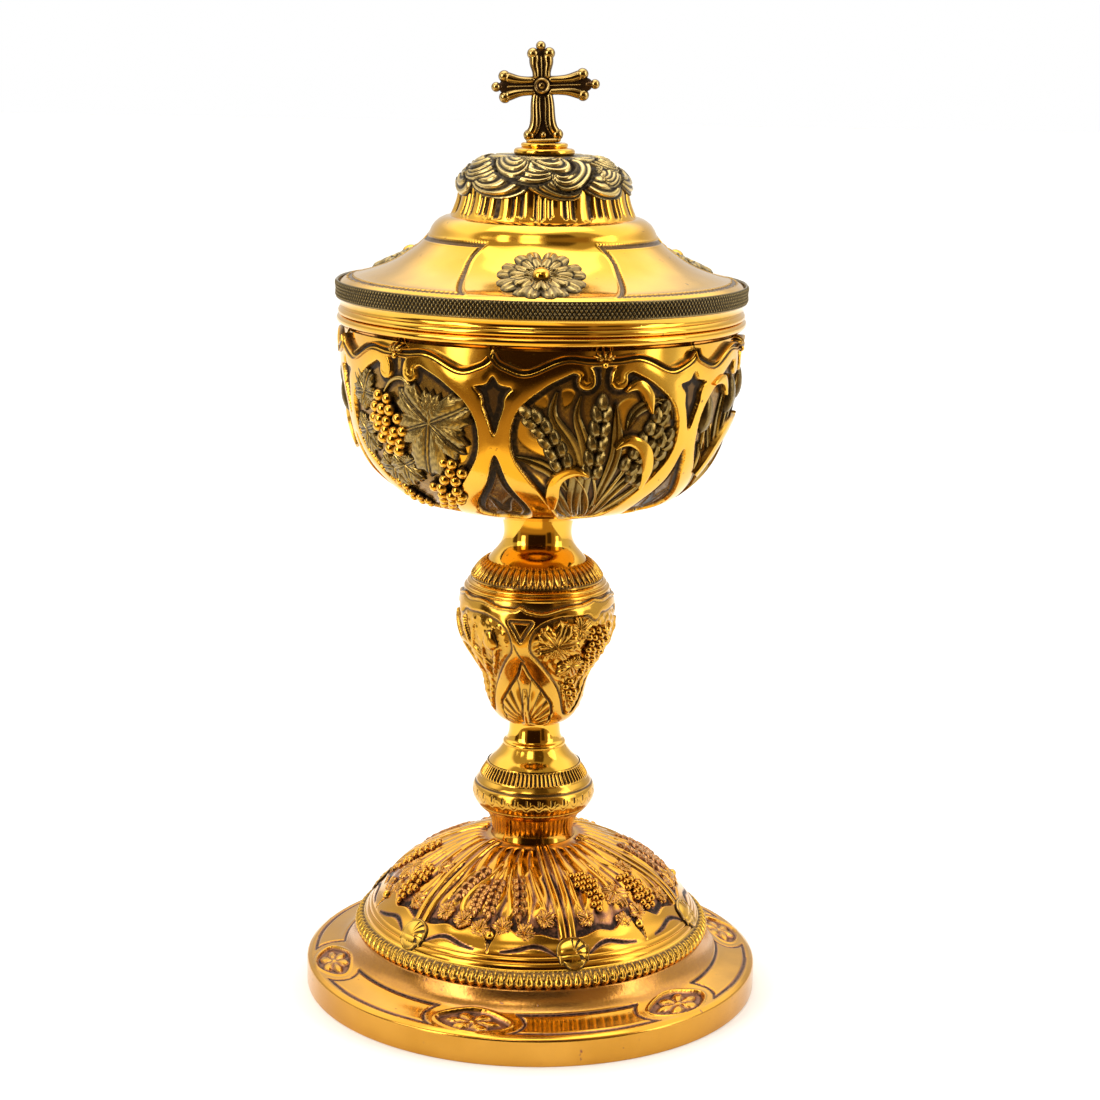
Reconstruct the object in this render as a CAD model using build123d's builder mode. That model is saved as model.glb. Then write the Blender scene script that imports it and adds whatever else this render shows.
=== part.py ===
"""Ciborium: a lidded communion vessel in gilt metal, built as a stack on one tie rod.

Units are millimetres. +Z is up, and the origin is the centre of the foot's resting ring.
-Y is the front. Azimuths are in degrees, from the front towards +X.
"""

import os
from math import cos, hypot, radians, sin

from build123d import *

# --- driving dimensions -------------------------------------------------------------
FOOT_R = 70.0
SHEET = 1.2  # spun and stamped sheet
TURNED_WALL = 1.2  # hollow turned and cast pieces of the stem
CUP_WALL = 1.2
FALSE_CUP_WALL = 1.3
FALSE_CUP_GAP = 0.15  # between the cup and the openwork cup around it
LID_SHEET = 1.0

# heights of the joints between the stacked pieces, from the bottom up
FLANGE_TOP = 16.9
GADROON_TOP = 22.6
DOME_TOP = 47.2
BASE_COLLAR_TOP = 55.0
LOWER_KNOP_TOP = 66.2
RIBBED_RING_TOP = 70.6
MIDDLE_COLLAR_TOP = 84.4
KNOP_TOP = 128.4
SHOULDER_TOP = 134.3
UPPER_COLLAR_TOP = 148.6
CUP_BOTTOM = UPPER_COLLAR_TOP + FALSE_CUP_WALL + FALSE_CUP_GAP
CUP_TOP = 208.6
LID_RING_TOP = 213.4
CROWN_SEAT = 237.4
KNURL_TOP = 218.7
LID_TOP = 255.3
SEAT_TOP = 258.9
CROSS_TOP = 288.0

# tie rod and its fasteners
ROD_R = 3.0
ROD_BOTTOM = 36.5
ROD_HOLE_R = 3.1
ROD_TOP = 149.0
BOSS_R = 6.0
BOSS_HOLE_R = 3.05
BOSS_BOTTOM = 139.0
NUT_WIDTH, NUT_HEIGHT = 10.0, 5.0
WASHER_R, WASHER_T = 11.0, 1.4

# mouth of the cup and the lid's ring that drops into it
CUP_R = 58.4
CUP_INNER_R = CUP_R - CUP_WALL
LIP_R = 60.8
BEZEL_R = CUP_INNER_R - 0.3
BEZEL_WALL = 1.0
BEZEL_DEPTH = 7.6  # how far it reaches down into the cup
KNURL_R = 61.1
LID_SHELL_R = 60.0

# cartouches of the openwork cup
CARTOUCHES, CARTOUCHE_AZ = 6, 17.0

# finial
TANG_R, TANG_HOLE_R, TANG_BOTTOM = 1.5, 1.6, 250.0
SEAT_RING_R, SEAT_STEP_R = 9.0, 6.9
FINIAL_WASHER_R, FINIAL_WASHER_T = 6.0, 0.8
FINIAL_NUT_WIDTH, FINIAL_NUT_HEIGHT = 5.5, 2.5
CROSS_CENTRE = 275.2
CROSS_HALF_SPAN = 16.0
CROSS_T = 4.0


# --- helpers ------------------------------------------------------------------------
def shifted(outline, distance):
    """The outline moved sideways by distance, to the left of its own direction."""
    moved = []
    for i, (r, z) in enumerate(outline):
        before = outline[max(i - 1, 0)]
        after = outline[min(i + 1, len(outline) - 1)]
        dr, dz = after[0] - before[0], after[1] - before[1]
        length = hypot(dr, dz)
        moved.append((r - dz / length * distance, z + dr / length * distance))
    return moved


def radius_at(outline, height):
    """Radius of a rising outline at a height, by straight lines between its points."""
    for (r_low, low), (r_high, high) in zip(outline, outline[1:]):
        if low <= height <= high:
            return r_low + (r_high - r_low) * (height - low) / (high - low)
    return outline[-1][0]


def bowl(outline, outside, inside, rim):
    """A flat-bottomed sheet bowl between two offsets of the outline, with an upright rim."""
    ends = ((1, 0), (0, 1))
    with BuildPart() as sheet:
        with BuildSketch(Plane.XZ):
            with BuildLine():
                outer = Spline(*shifted(outline, outside), tangents=ends)
                inner = Spline(*shifted(outline, inside), tangents=ends)
                outer_end, inner_end = outer @ 1, inner @ 1
                Polyline(outer_end, (outer_end.X, rim), (inner_end.X, rim), inner_end)
                Polyline(inner @ 0, (0, (inner @ 0).Y), (0, (outer @ 0).Y), outer @ 0)
            make_face()
        revolve(axis=Axis.Z)
    return sheet


def hollow_turning(outline, wall=TURNED_WALL, hole_r=ROD_HOLE_R):
    """A hollow stem piece with a flat web at each end, bored for the tie rod."""
    bottom, top = outline[0][1], outline[-1][1]
    floor, roof = bottom + wall, top - wall
    wall_inside = shifted(outline, wall)
    between = [point for point in wall_inside if floor + 0.4 < point[1] < roof - 0.4]
    hollow = [
        (radius_at(wall_inside, floor), floor),
        *between,
        (radius_at(wall_inside, roof), roof),
    ]
    with BuildPart() as piece:
        with BuildSketch(Plane.XZ):
            with BuildLine():
                outer = Spline(*outline)
                inner = Spline(*hollow)
                Polyline(outer @ 1, (hole_r, top), (hole_r, roof), inner @ 1)
                Polyline(inner @ 0, (hole_r, floor), (hole_r, bottom), outer @ 0)
            make_face()
        revolve(axis=Axis.Z)
    return piece


def turned_ring(outline, inner_r):
    """A solid ring with a moulded outside and a plain bore."""
    bottom, top = outline[0][1], outline[-1][1]
    with BuildPart() as ring:
        with BuildSketch(Plane.XZ):
            with BuildLine():
                Polyline(*outline, (inner_r, top), (inner_r, bottom), outline[0])
            make_face()
        revolve(axis=Axis.Z)
    return ring


def beads(levels, root_r, crest_r):
    """Outline of half-round beads between successive levels, as a polyline."""
    steps = 6
    points = [(root_r, levels[0])]
    for low, high in zip(levels, levels[1:]):
        for step in range(1, steps + 1):
            turn = radians(180 * step / steps)
            middle, half = (low + high) / 2, (high - low) / 2
            points.append((root_r + (crest_r - root_r) * sin(turn), middle - half * cos(turn)))
    return points


def facing(azimuth, radius, height):
    """A plane whose normal points outward at this azimuth, with its local Y upward."""
    turn = radians(azimuth)
    outward = (sin(turn), -cos(turn), 0)
    return Plane(
        origin=(radius * outward[0], radius * outward[1], height),
        x_dir=(cos(turn), sin(turn), 0),
        z_dir=outward,
    )


def save(piece, name):
    """Labels the finished piece and writes it as one STEP file."""
    piece.part.label = name
    export_step(piece.part, f"parts/{name}.step")


os.makedirs("parts", exist_ok=True)

# --- foot ---------------------------------------------------------------------------
RIM_TOP = 8.4
RIM_CHAMFER = 0.7
LEDGE_R = 49.8  # inner edge of the flange's ledge, flush with the dome's inside
DOME_R = LEDGE_R + SHEET
LEDGE_OUTER_R = 53.6
# the slope from the rim to the hollow moulding under the ledge, and the same line inside the sheet
SLOPE_OUTSIDE = [(FOOT_R - 1.6, 9.2), (57.9, 11.3), (55.6, 13.2)]
SLOPE_INSIDE = [(52.6, FLANGE_TOP - SHEET), (54.4, 12.6), (57.3, 10.1), (FOOT_R - SHEET, 7.9)]

with BuildPart() as foot_flange:
    with BuildSketch(Plane.XZ):
        with BuildLine():
            Polyline(
                (FOOT_R - SHEET, 0),
                (FOOT_R, 0),
                (FOOT_R, RIM_TOP - RIM_CHAMFER),
                (FOOT_R - RIM_CHAMFER, RIM_TOP),
                *SLOPE_OUTSIDE,
                (LEDGE_OUTER_R, FLANGE_TOP),
                (LEDGE_R, FLANGE_TOP),
                (LEDGE_R, FLANGE_TOP - SHEET),
                *SLOPE_INSIDE,
                (FOOT_R - SHEET, 0),
            )
        make_face()
    revolve(axis=Axis.Z)
save(foot_flange, "foot_flange")

WIRE_R = 1.4
WIRE_CLEARANCE = 0.1
with BuildPart() as foot_rim_wire:
    with BuildSketch(Plane.XZ):
        with Locations((FOOT_R - SHEET - WIRE_R - WIRE_CLEARANCE, WIRE_R + WIRE_CLEARANCE)):
            Circle(WIRE_R)
    revolve(axis=Axis.Z)
save(foot_rim_wire, "foot_rim_wire")

DOME_OUTLINE = [
    (17.2, 46.3), (23.4, 44.2), (29.0, 41.6), (34.2, 39.0), (38.9, 36.0),
    (42.6, 33.0), (45.3, 30.2), (47.4, 27.2), (49.3, 24.6), (50.7, 22.2), (51.0, 19.8),
]
DOME_LAND_R = 12.9

with BuildPart() as foot_dome:
    with BuildSketch(Plane.XZ):
        with BuildLine():
            crown = Spline((DOME_LAND_R, DOME_TOP), *DOME_OUTLINE, tangents=((1, 0), (0, -1)))
            inner = Spline(
                (DOME_LAND_R, DOME_TOP - SHEET),
                *shifted(DOME_OUTLINE, -SHEET),
                tangents=((1, 0), (0, -1)),
            )
            Polyline(crown @ 1, (DOME_R, FLANGE_TOP), (LEDGE_R, FLANGE_TOP), inner @ 1)
            Polyline(
                inner @ 0, (ROD_HOLE_R, DOME_TOP - SHEET), (ROD_HOLE_R, DOME_TOP), crown @ 0
            )
        make_face()
    revolve(axis=Axis.Z)
save(foot_dome, "foot_dome")

GADROON_R = 55.0
GADROON_ROOT_R = DOME_R + 1.3
gadroon_ring = turned_ring(
    beads([FLANGE_TOP, GADROON_TOP], GADROON_ROOT_R, GADROON_R), DOME_R + 0.02
)
save(gadroon_ring, "gadroon_ring")

# --- stem ---------------------------------------------------------------------------
base_collar = hollow_turning(
    [(12.9, DOME_TOP), (12.6, 49.2), (13.1, 51.8), (14.0, 53.8), (14.6, BASE_COLLAR_TOP)]
)
save(base_collar, "base_collar")

lower_knop = hollow_turning(
    [(14.6, BASE_COLLAR_TOP), (16.9, 57.0), (18.4, 59.2), (18.9, 61.6),
     (18.4, 64.0), (17.0, LOWER_KNOP_TOP)]
)
save(lower_knop, "lower_knop")

ribbed_ring = hollow_turning(
    [(16.6, LOWER_KNOP_TOP), (15.7, 67.9), (14.9, 69.4), (14.2, RIBBED_RING_TOP)]
)
save(ribbed_ring, "ribbed_ring")

middle_collar = hollow_turning(
    [(14.1, RIBBED_RING_TOP), (12.5, 72.2), (11.5, 73.6), (10.8, 75.0), (10.0, 76.6),
     (8.9, 78.2), (7.6, 80.0), (6.9, 82.0), (7.2, MIDDLE_COLLAR_TOP)]
)
save(middle_collar, "middle_collar")

knop = hollow_turning(
    [(8.2, MIDDLE_COLLAR_TOP), (10.9, 86.2), (12.5, 88.0), (13.5, 90.0), (14.2, 92.5),
     (14.9, 95.5), (15.8, 98.5), (17.4, 102.0), (19.6, 105.6), (21.8, 109.2), (23.3, 112.6),
     (23.9, 116.2), (23.6, 119.8), (22.8, 123.2), (21.6, 126.0), (20.0, KNOP_TOP)]
)
save(knop, "knop")

knop_shoulder = hollow_turning(
    [(19.5, KNOP_TOP), (18.9, 130.4), (17.6, 132.4), (15.4, SHOULDER_TOP)]
)
save(knop_shoulder, "knop_shoulder")

upper_collar = hollow_turning(
    [(15.0, SHOULDER_TOP), (13.4, 136.4), (11.5, 138.8), (10.6, 140.8), (10.3, 143.0),
     (10.6, 145.6), (11.4, UPPER_COLLAR_TOP)],
    hole_r=BOSS_R + 0.1,
)
save(upper_collar, "upper_collar")

# --- cup ----------------------------------------------------------------------------
CUP_OUTLINE = [
    (12.0, CUP_BOTTOM), (20.6, 151.2), (25.6, 152.5), (32.8, 154.3), (40.4, 156.6),
    (45.7, 160.3), (50.4, 165.6), (53.9, 172.3), (56.3, 181.4), (57.5, 188.6),
    (58.1, 195.0), (CUP_R, 202.0),
]

cup = bowl(CUP_OUTLINE, 0, CUP_WALL, CUP_TOP)
save(cup, "cup")

cup_lip_ring = turned_ring(beads([205.4, 207.2, CUP_TOP], LIP_R - 0.9, LIP_R), CUP_R)
save(cup_lip_ring, "cup_lip_ring")

# openwork cup: a sheet around the cup, pierced by the cartouches and the gaps between them
FALSE_CUP_TOP = 203.2
WINDOW_HEIGHT, WINDOW_WIDTH, WINDOW_Z = 34.0, 42.0, 178.0
SCALLOP_R, SCALLOP_LOW = 15.0, 198.0
UPPER_GAP = [(-4.2, 193.5), (4.2, 193.5), (0, 184.0)]
LOWER_GAP = [(-5.0, 163.0), (5.0, 163.0), (0, 173.5)]
CUTTER_START_R, CUTTER_REACH = CUP_R - 20, 40.0

with BuildPart() as false_cup:
    add(bowl(CUP_OUTLINE, -FALSE_CUP_GAP - FALSE_CUP_WALL, -FALSE_CUP_GAP, FALSE_CUP_TOP).part)
    with Locations((0, 0, CUP_BOTTOM)):
        Cylinder(BOSS_R + 0.1, 4 * FALSE_CUP_WALL, mode=Mode.SUBTRACT)
    step = 360 / CARTOUCHES
    for index in range(CARTOUCHES):
        middle = CARTOUCHE_AZ + step * index
        crossing = middle + step / 2
        with BuildSketch(facing(middle, CUTTER_START_R, WINDOW_Z)):
            Ellipse(WINDOW_WIDTH / 2, WINDOW_HEIGHT / 2)
        extrude(amount=CUTTER_REACH, mode=Mode.SUBTRACT)
        with BuildSketch(facing(crossing, CUTTER_START_R, 0)):
            for gap in (UPPER_GAP, LOWER_GAP):
                with BuildLine():
                    Polyline(*gap, close=True)
                make_face()
        extrude(amount=CUTTER_REACH, mode=Mode.SUBTRACT)
        for side in (-1, 1):
            valley = middle + side * step / 4
            with BuildSketch(facing(valley, CUTTER_START_R, SCALLOP_LOW + SCALLOP_R)):
                Circle(SCALLOP_R)
            extrude(amount=CUTTER_REACH, mode=Mode.SUBTRACT)
save(false_cup, "false_cup")

BOSS_TOP = CUP_BOTTOM - 0.02
with BuildPart() as cup_boss:
    with BuildSketch(Plane.XZ):
        with BuildLine():
            Polyline(
                (BOSS_HOLE_R, BOSS_BOTTOM), (BOSS_R, BOSS_BOTTOM), (BOSS_R, BOSS_TOP),
                (0, BOSS_TOP), (0, ROD_TOP), (BOSS_HOLE_R, ROD_TOP), close=True,
            )
        make_face()
    revolve(axis=Axis.Z)
save(cup_boss, "cup_boss")

# --- tie rod and its fasteners --------------------------------------------------------
WASHER_TOP = DOME_TOP - SHEET
NUT_TOP = WASHER_TOP - WASHER_T
ROD_CHAMFER, WASHER_CHAMFER = 0.6, 0.5

with BuildPart() as tie_rod:
    with BuildSketch(Plane.XY.offset(ROD_BOTTOM)):
        Circle(ROD_R)
    extrude(amount=ROD_TOP - ROD_BOTTOM)
    chamfer(tie_rod.edges().group_by(Axis.Z)[0], ROD_CHAMFER)
save(tie_rod, "tie_rod")

with BuildPart() as foot_washer:
    with BuildSketch(Plane.XY.offset(NUT_TOP)):
        Circle(WASHER_R)
        Circle(ROD_HOLE_R, mode=Mode.SUBTRACT)
    extrude(amount=WASHER_T)
    chamfer(foot_washer.edges().group_by(Axis.Z)[0].sort_by(SortBy.LENGTH)[-1], WASHER_CHAMFER)
save(foot_washer, "foot_washer")

with BuildPart() as foot_nut:
    with BuildSketch(Plane.XY.offset(NUT_TOP - NUT_HEIGHT)):
        RegularPolygon(NUT_WIDTH / 2, 6, major_radius=False)
        Circle(BOSS_HOLE_R, mode=Mode.SUBTRACT)
    extrude(amount=NUT_HEIGHT)
save(foot_nut, "foot_nut")

# --- lid ----------------------------------------------------------------------------
BEZEL_TOP = 217.0

with BuildPart() as lid_bezel:
    with BuildSketch(Plane.XY.offset(CUP_TOP - BEZEL_DEPTH)):
        Circle(BEZEL_R)
        Circle(BEZEL_R - BEZEL_WALL, mode=Mode.SUBTRACT)
    extrude(amount=BEZEL_TOP - CUP_TOP + BEZEL_DEPTH)
save(lid_bezel, "lid_bezel")

lid_base_ring = turned_ring(
    beads([CUP_TOP, 209.9, 211.2, LID_RING_TOP], KNURL_R - 1.3, KNURL_R - 0.5), BEZEL_R
)
save(lid_base_ring, "lid_base_ring")

SHELL_SEAT = KNURL_TOP - 0.9  # rebate in the knurled rim that holds the shell's edge
REBATE_R = LID_SHELL_R + 0.05
with BuildPart() as lid_knurled_rim:
    with BuildSketch(Plane.XZ):
        with BuildLine():
            Polyline(
                (BEZEL_R, LID_RING_TOP), (KNURL_R, LID_RING_TOP), (KNURL_R, KNURL_TOP),
                (REBATE_R, KNURL_TOP), (REBATE_R, SHELL_SEAT), (BEZEL_R, SHELL_SEAT), close=True,
            )
        make_face()
    revolve(axis=Axis.Z)
save(lid_knurled_rim, "lid_knurled_rim")

LID_SKIRT = [
    (LID_SHELL_R, SHELL_SEAT), (59.2, 218.9), (57.0, 219.5), (55.0, 220.0),
    (51.5, 221.0), (48.1, 222.2), (44.8, 223.6), (42.1, 225.1), (39.1, 227.1),
    (35.9, 229.5), (33.9, 232.0), (32.8, 234.4), (31.0, 236.3), (28.6, CROWN_SEAT),
]
LID_CROWN = [
    (27.6, CROWN_SEAT), (26.6, 240.0), (25.8, 242.4), (25.4, 244.8), (25.1, 247.0),
    (24.0, 249.0), (22.2, 250.8), (19.8, 252.6), (16.6, 254.2), (12.8, 255.0), (8.7, LID_TOP),
]
LEDGE_INNER_R = 25.9  # inner edge of the skirt's top ledge, under the crown's foot
skirt_under = [
    (LID_SHELL_R - LID_SHEET, SHELL_SEAT),
    *shifted(LID_SKIRT, LID_SHEET)[1:-1],
    (LID_SKIRT[-1][0] - LID_SHEET, CROWN_SEAT - LID_SHEET),
]
crown_under = [
    (LID_CROWN[0][0] - LID_SHEET, CROWN_SEAT),
    *shifted(LID_CROWN, LID_SHEET)[1:-1],
    (LID_CROWN[-1][0], LID_TOP - LID_SHEET),
]

with BuildPart() as lid_skirt:
    with BuildSketch(Plane.XZ):
        with BuildLine():
            upper = Spline(*LID_SKIRT)
            under = Spline(*skirt_under)
            Line(under @ 0, upper @ 0)
            Polyline(
                upper @ 1, (LEDGE_INNER_R, CROWN_SEAT),
                (LEDGE_INNER_R, CROWN_SEAT - LID_SHEET), under @ 1,
            )
        make_face()
    revolve(axis=Axis.Z)
save(lid_skirt, "lid_skirt")

with BuildPart() as lid_crown:
    with BuildSketch(Plane.XZ):
        with BuildLine():
            upper = Spline(*LID_CROWN)
            under = Spline(*crown_under)
            Line(under @ 0, upper @ 0)
            Polyline(
                upper @ 1, (TANG_HOLE_R, LID_TOP), (TANG_HOLE_R, LID_TOP - LID_SHEET), under @ 1
            )
        make_face()
    revolve(axis=Axis.Z)
save(lid_crown, "lid_crown")

with BuildPart() as finial_seat:
    with BuildSketch(Plane.XZ):
        with BuildLine():
            Polyline(
                (TANG_HOLE_R, LID_TOP), (SEAT_RING_R, LID_TOP), (SEAT_RING_R, 256.7),
                (SEAT_RING_R - 0.7, 257.3), (SEAT_STEP_R, 257.4), (SEAT_STEP_R, 258.5),
                (SEAT_STEP_R - 0.6, SEAT_TOP), (TANG_HOLE_R, SEAT_TOP), close=True,
            )
        make_face()
    revolve(axis=Axis.Z)
save(finial_seat, "finial_seat")

# the arms are flat bars that flare to fleur ends, each tipped with a ball
BAR_W = 5.7
FLARE_LONG, FLARE_SHORT = 4.5, 2.2
BALL_R = 1.4
TIP_FROM_END = 4.2
CENTRE_BOSS_R = 3.6
SIDE_BALL = CROSS_HALF_SPAN - BALL_R
SIDE_FLARE = CROSS_HALF_SPAN - TIP_FROM_END
ARM_HALF_LENGTH = CROSS_HALF_SPAN - BALL_R

with BuildPart() as cross:
    with BuildSketch(Plane.XZ):
        with Locations((0, SEAT_TOP)):
            Rectangle(BAR_W, CROSS_TOP - BALL_R - SEAT_TOP, align=(Align.CENTER, Align.MIN))
        with Locations((0, CROSS_CENTRE)):
            Rectangle(2 * ARM_HALF_LENGTH, BAR_W)
            Circle(CENTRE_BOSS_R)
        with Locations((0, CROSS_TOP - TIP_FROM_END), (0, SEAT_TOP + FLARE_SHORT)):
            Ellipse(FLARE_LONG, FLARE_SHORT)
        with Locations((-SIDE_FLARE, CROSS_CENTRE), (SIDE_FLARE, CROSS_CENTRE)):
            Ellipse(FLARE_SHORT, FLARE_LONG)
        with Locations(
            (0, CROSS_TOP - BALL_R), (SIDE_BALL, CROSS_CENTRE), (-SIDE_BALL, CROSS_CENTRE)
        ):
            Circle(BALL_R)
    extrude(amount=CROSS_T / 2, both=True)
    with BuildSketch(Plane.XY.offset(TANG_BOTTOM)):
        Circle(TANG_R)
    extrude(amount=SEAT_TOP + BAR_W / 2 - TANG_BOTTOM)
save(cross, "cross")

LID_UNDER = LID_TOP - LID_SHEET
with BuildPart() as finial_washer:
    with BuildSketch(Plane.XY.offset(LID_UNDER - FINIAL_WASHER_T)):
        Circle(FINIAL_WASHER_R)
        Circle(TANG_HOLE_R, mode=Mode.SUBTRACT)
    extrude(amount=FINIAL_WASHER_T)
save(finial_washer, "finial_washer")

with BuildPart() as finial_nut:
    with BuildSketch(Plane.XY.offset(LID_UNDER - FINIAL_WASHER_T - FINIAL_NUT_HEIGHT)):
        RegularPolygon(FINIAL_NUT_WIDTH / 2, 6, major_radius=False)
        Circle(TANG_R + 0.02, mode=Mode.SUBTRACT)
    extrude(amount=FINIAL_NUT_HEIGHT)
save(finial_nut, "finial_nut")
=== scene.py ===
"""Looks of the ciborium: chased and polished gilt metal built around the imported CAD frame.

Lengths in the shape code are millimetres and azimuths are degrees from the front (-Y) towards +X.
"""

import bpy
import numpy as np
from mathutils import Matrix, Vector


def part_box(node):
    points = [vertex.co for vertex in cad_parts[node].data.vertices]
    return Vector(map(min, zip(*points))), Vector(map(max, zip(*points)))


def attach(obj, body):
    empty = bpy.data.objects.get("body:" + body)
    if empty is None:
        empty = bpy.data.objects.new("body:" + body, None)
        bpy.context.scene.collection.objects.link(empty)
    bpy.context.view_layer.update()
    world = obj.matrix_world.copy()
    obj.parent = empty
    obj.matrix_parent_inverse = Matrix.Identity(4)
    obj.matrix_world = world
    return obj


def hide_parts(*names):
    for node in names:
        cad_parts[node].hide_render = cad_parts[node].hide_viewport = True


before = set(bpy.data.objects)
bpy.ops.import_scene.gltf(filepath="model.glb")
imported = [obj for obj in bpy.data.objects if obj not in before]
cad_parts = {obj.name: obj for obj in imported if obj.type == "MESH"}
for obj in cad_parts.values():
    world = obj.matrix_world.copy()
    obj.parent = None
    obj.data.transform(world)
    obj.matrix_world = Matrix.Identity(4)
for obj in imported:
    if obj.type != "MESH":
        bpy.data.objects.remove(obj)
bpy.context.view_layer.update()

MM = 0.001
RNG = np.random.default_rng(7)


# --- curves and turned surfaces -------------------------------------------------------
def lengths(points):
    """Running length along a polyline, from 0."""
    return np.concatenate([[0], np.cumsum(np.linalg.norm(np.diff(points, axis=0), axis=1))])


def evenly(values, count):
    """count values that run evenly through the given ones."""
    return np.interp(np.linspace(0, 1, count), np.linspace(0, 1, np.size(values)), np.atleast_1d(values))


def unit(vectors):
    """The same vectors at length 1."""
    return vectors / (np.linalg.norm(vectors, axis=1)[:, None] + 1e-9)


def ease(x, low, high):
    """Smooth step from 0 at low to 1 at high."""
    t = np.clip((x - low) / (high - low), 0, 1)
    return t * t * (3 - 2 * t)


def bell(x, at, width):
    """A soft bump: 1 where x is at, and near 0 beyond twice the width from there."""
    return np.exp(-(((x - at) / width) ** 2))


def arch(x):
    """Upper half of a unit circle over x, and 0 outside -1..1."""
    return np.sqrt(np.clip(1 - x**2, 0, 1))


def spline(points, step=0.3, closed=False):
    """Points every step along a natural cubic spline through the given points."""
    p = np.array(points, float)
    if closed:
        p = np.vstack([p[-4:], p, p[:5]])
    t = lengths(p)
    n = len(p)
    h = np.diff(t)
    bend = np.zeros_like(p)
    if n > 2:
        a = np.zeros((n, n))
        b = np.zeros_like(p)
        a[0, 0] = a[-1, -1] = 1
        for i in range(1, n - 1):
            a[i, i - 1 : i + 2] = h[i - 1], 2 * (h[i - 1] + h[i]), h[i]
            b[i] = 6 * ((p[i + 1] - p[i]) / h[i] - (p[i] - p[i - 1]) / h[i - 1])
        bend = np.linalg.solve(a, b)
    low, high = (t[4], t[-5]) if closed else (t[0], t[-1])
    fine = np.linspace(low, high, max(60, int((high - low) / step) * 4))
    i = np.clip(np.searchsorted(t, fine) - 1, 0, n - 2)
    u, v, hi = (t[i + 1] - fine)[:, None], (fine - t[i])[:, None], h[i][:, None]
    curve = (bend[i] * u**3 + bend[i + 1] * v**3) / (6 * hi)
    curve += (p[i] / hi - bend[i] * hi / 6) * u + (p[i + 1] / hi - bend[i + 1] * hi / 6) * v
    return resample(curve, step)


def resample(curve, step):
    """The same polyline with evenly spaced points."""
    length = lengths(curve)
    count = max(2, int(round(length[-1] / step)) + 1)
    at = np.linspace(0, length[-1], count)
    return np.stack([np.interp(at, length, curve[:, k]) for k in range(curve.shape[1])], 1)


class Turned:
    """A surface of revolution. s is the length along its outline, from the bottom up."""

    def __init__(self, outline, step=0.2, smooth=True):
        self.rz = spline(outline, step) if smooth else resample(np.array(outline, float), step)
        self.s = lengths(self.rz)
        slope = np.gradient(self.rz, self.s, axis=0)
        slope /= np.linalg.norm(slope, axis=1)[:, None]
        self.normal = np.stack([slope[:, 1], -slope[:, 0]], 1)

    def r_at(self, s):
        return np.interp(s, self.s, self.rz[:, 0])

    def z_at(self, s):
        return np.interp(s, self.s, self.rz[:, 1])

    def mm_per_degree(self, s):
        return np.radians(1) * self.r_at(s)

    def s_at_z(self, z):
        return np.interp(z, self.rz[:, 1], self.s)

    def s_at_r(self, r):
        """For an outline whose radius only falls from the bottom up."""
        return np.interp(-np.asarray(r, float), -self.rz[:, 0], self.s)

    def by_height(self, points):
        """(azimuth, z) points as (azimuth, s)."""
        points = np.array(points, float)
        return np.stack([points[:, 0], self.s_at_z(points[:, 1])], 1)

    def by_radius(self, points):
        """(azimuth, radius) points as (azimuth, s), for an outline as in s_at_r."""
        points = np.array(points, float)
        return np.stack([points[:, 0], self.s_at_r(points[:, 1])], 1)

    def at(self, a, s, h=0.0):
        """Points at azimuth a and length s, raised h off the surface."""
        turn = np.radians(a)
        r = self.r_at(s) + h * np.interp(s, self.s, self.normal[:, 0])
        z = self.z_at(s) + h * np.interp(s, self.s, self.normal[:, 1])
        return np.stack([r * np.sin(turn), -r * np.cos(turn), z + 0 * turn], -1)

    def out(self, a, s):
        """Outward unit normals."""
        return self.at(a, s, 1.0) - self.at(a, s)

    def axes(self, spots):
        """Places, outward normals, and tangents sideways and up the outline, at (azimuth, s) spots."""
        up = self.out(spots[:, 0], spots[:, 1])
        side = unit(np.cross([0, 0, 1.0], up))
        return self.at(spots[:, 0], spots[:, 1]), up, side, np.cross(up, side)


# --- meshes ---------------------------------------------------------------------------
SHARP_FROM = 40.0
SUNK, SWEEP_SUNK = 0.3, 0.25  # how far the feet of leaves and grains, and of strips, reach into the ground


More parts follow.
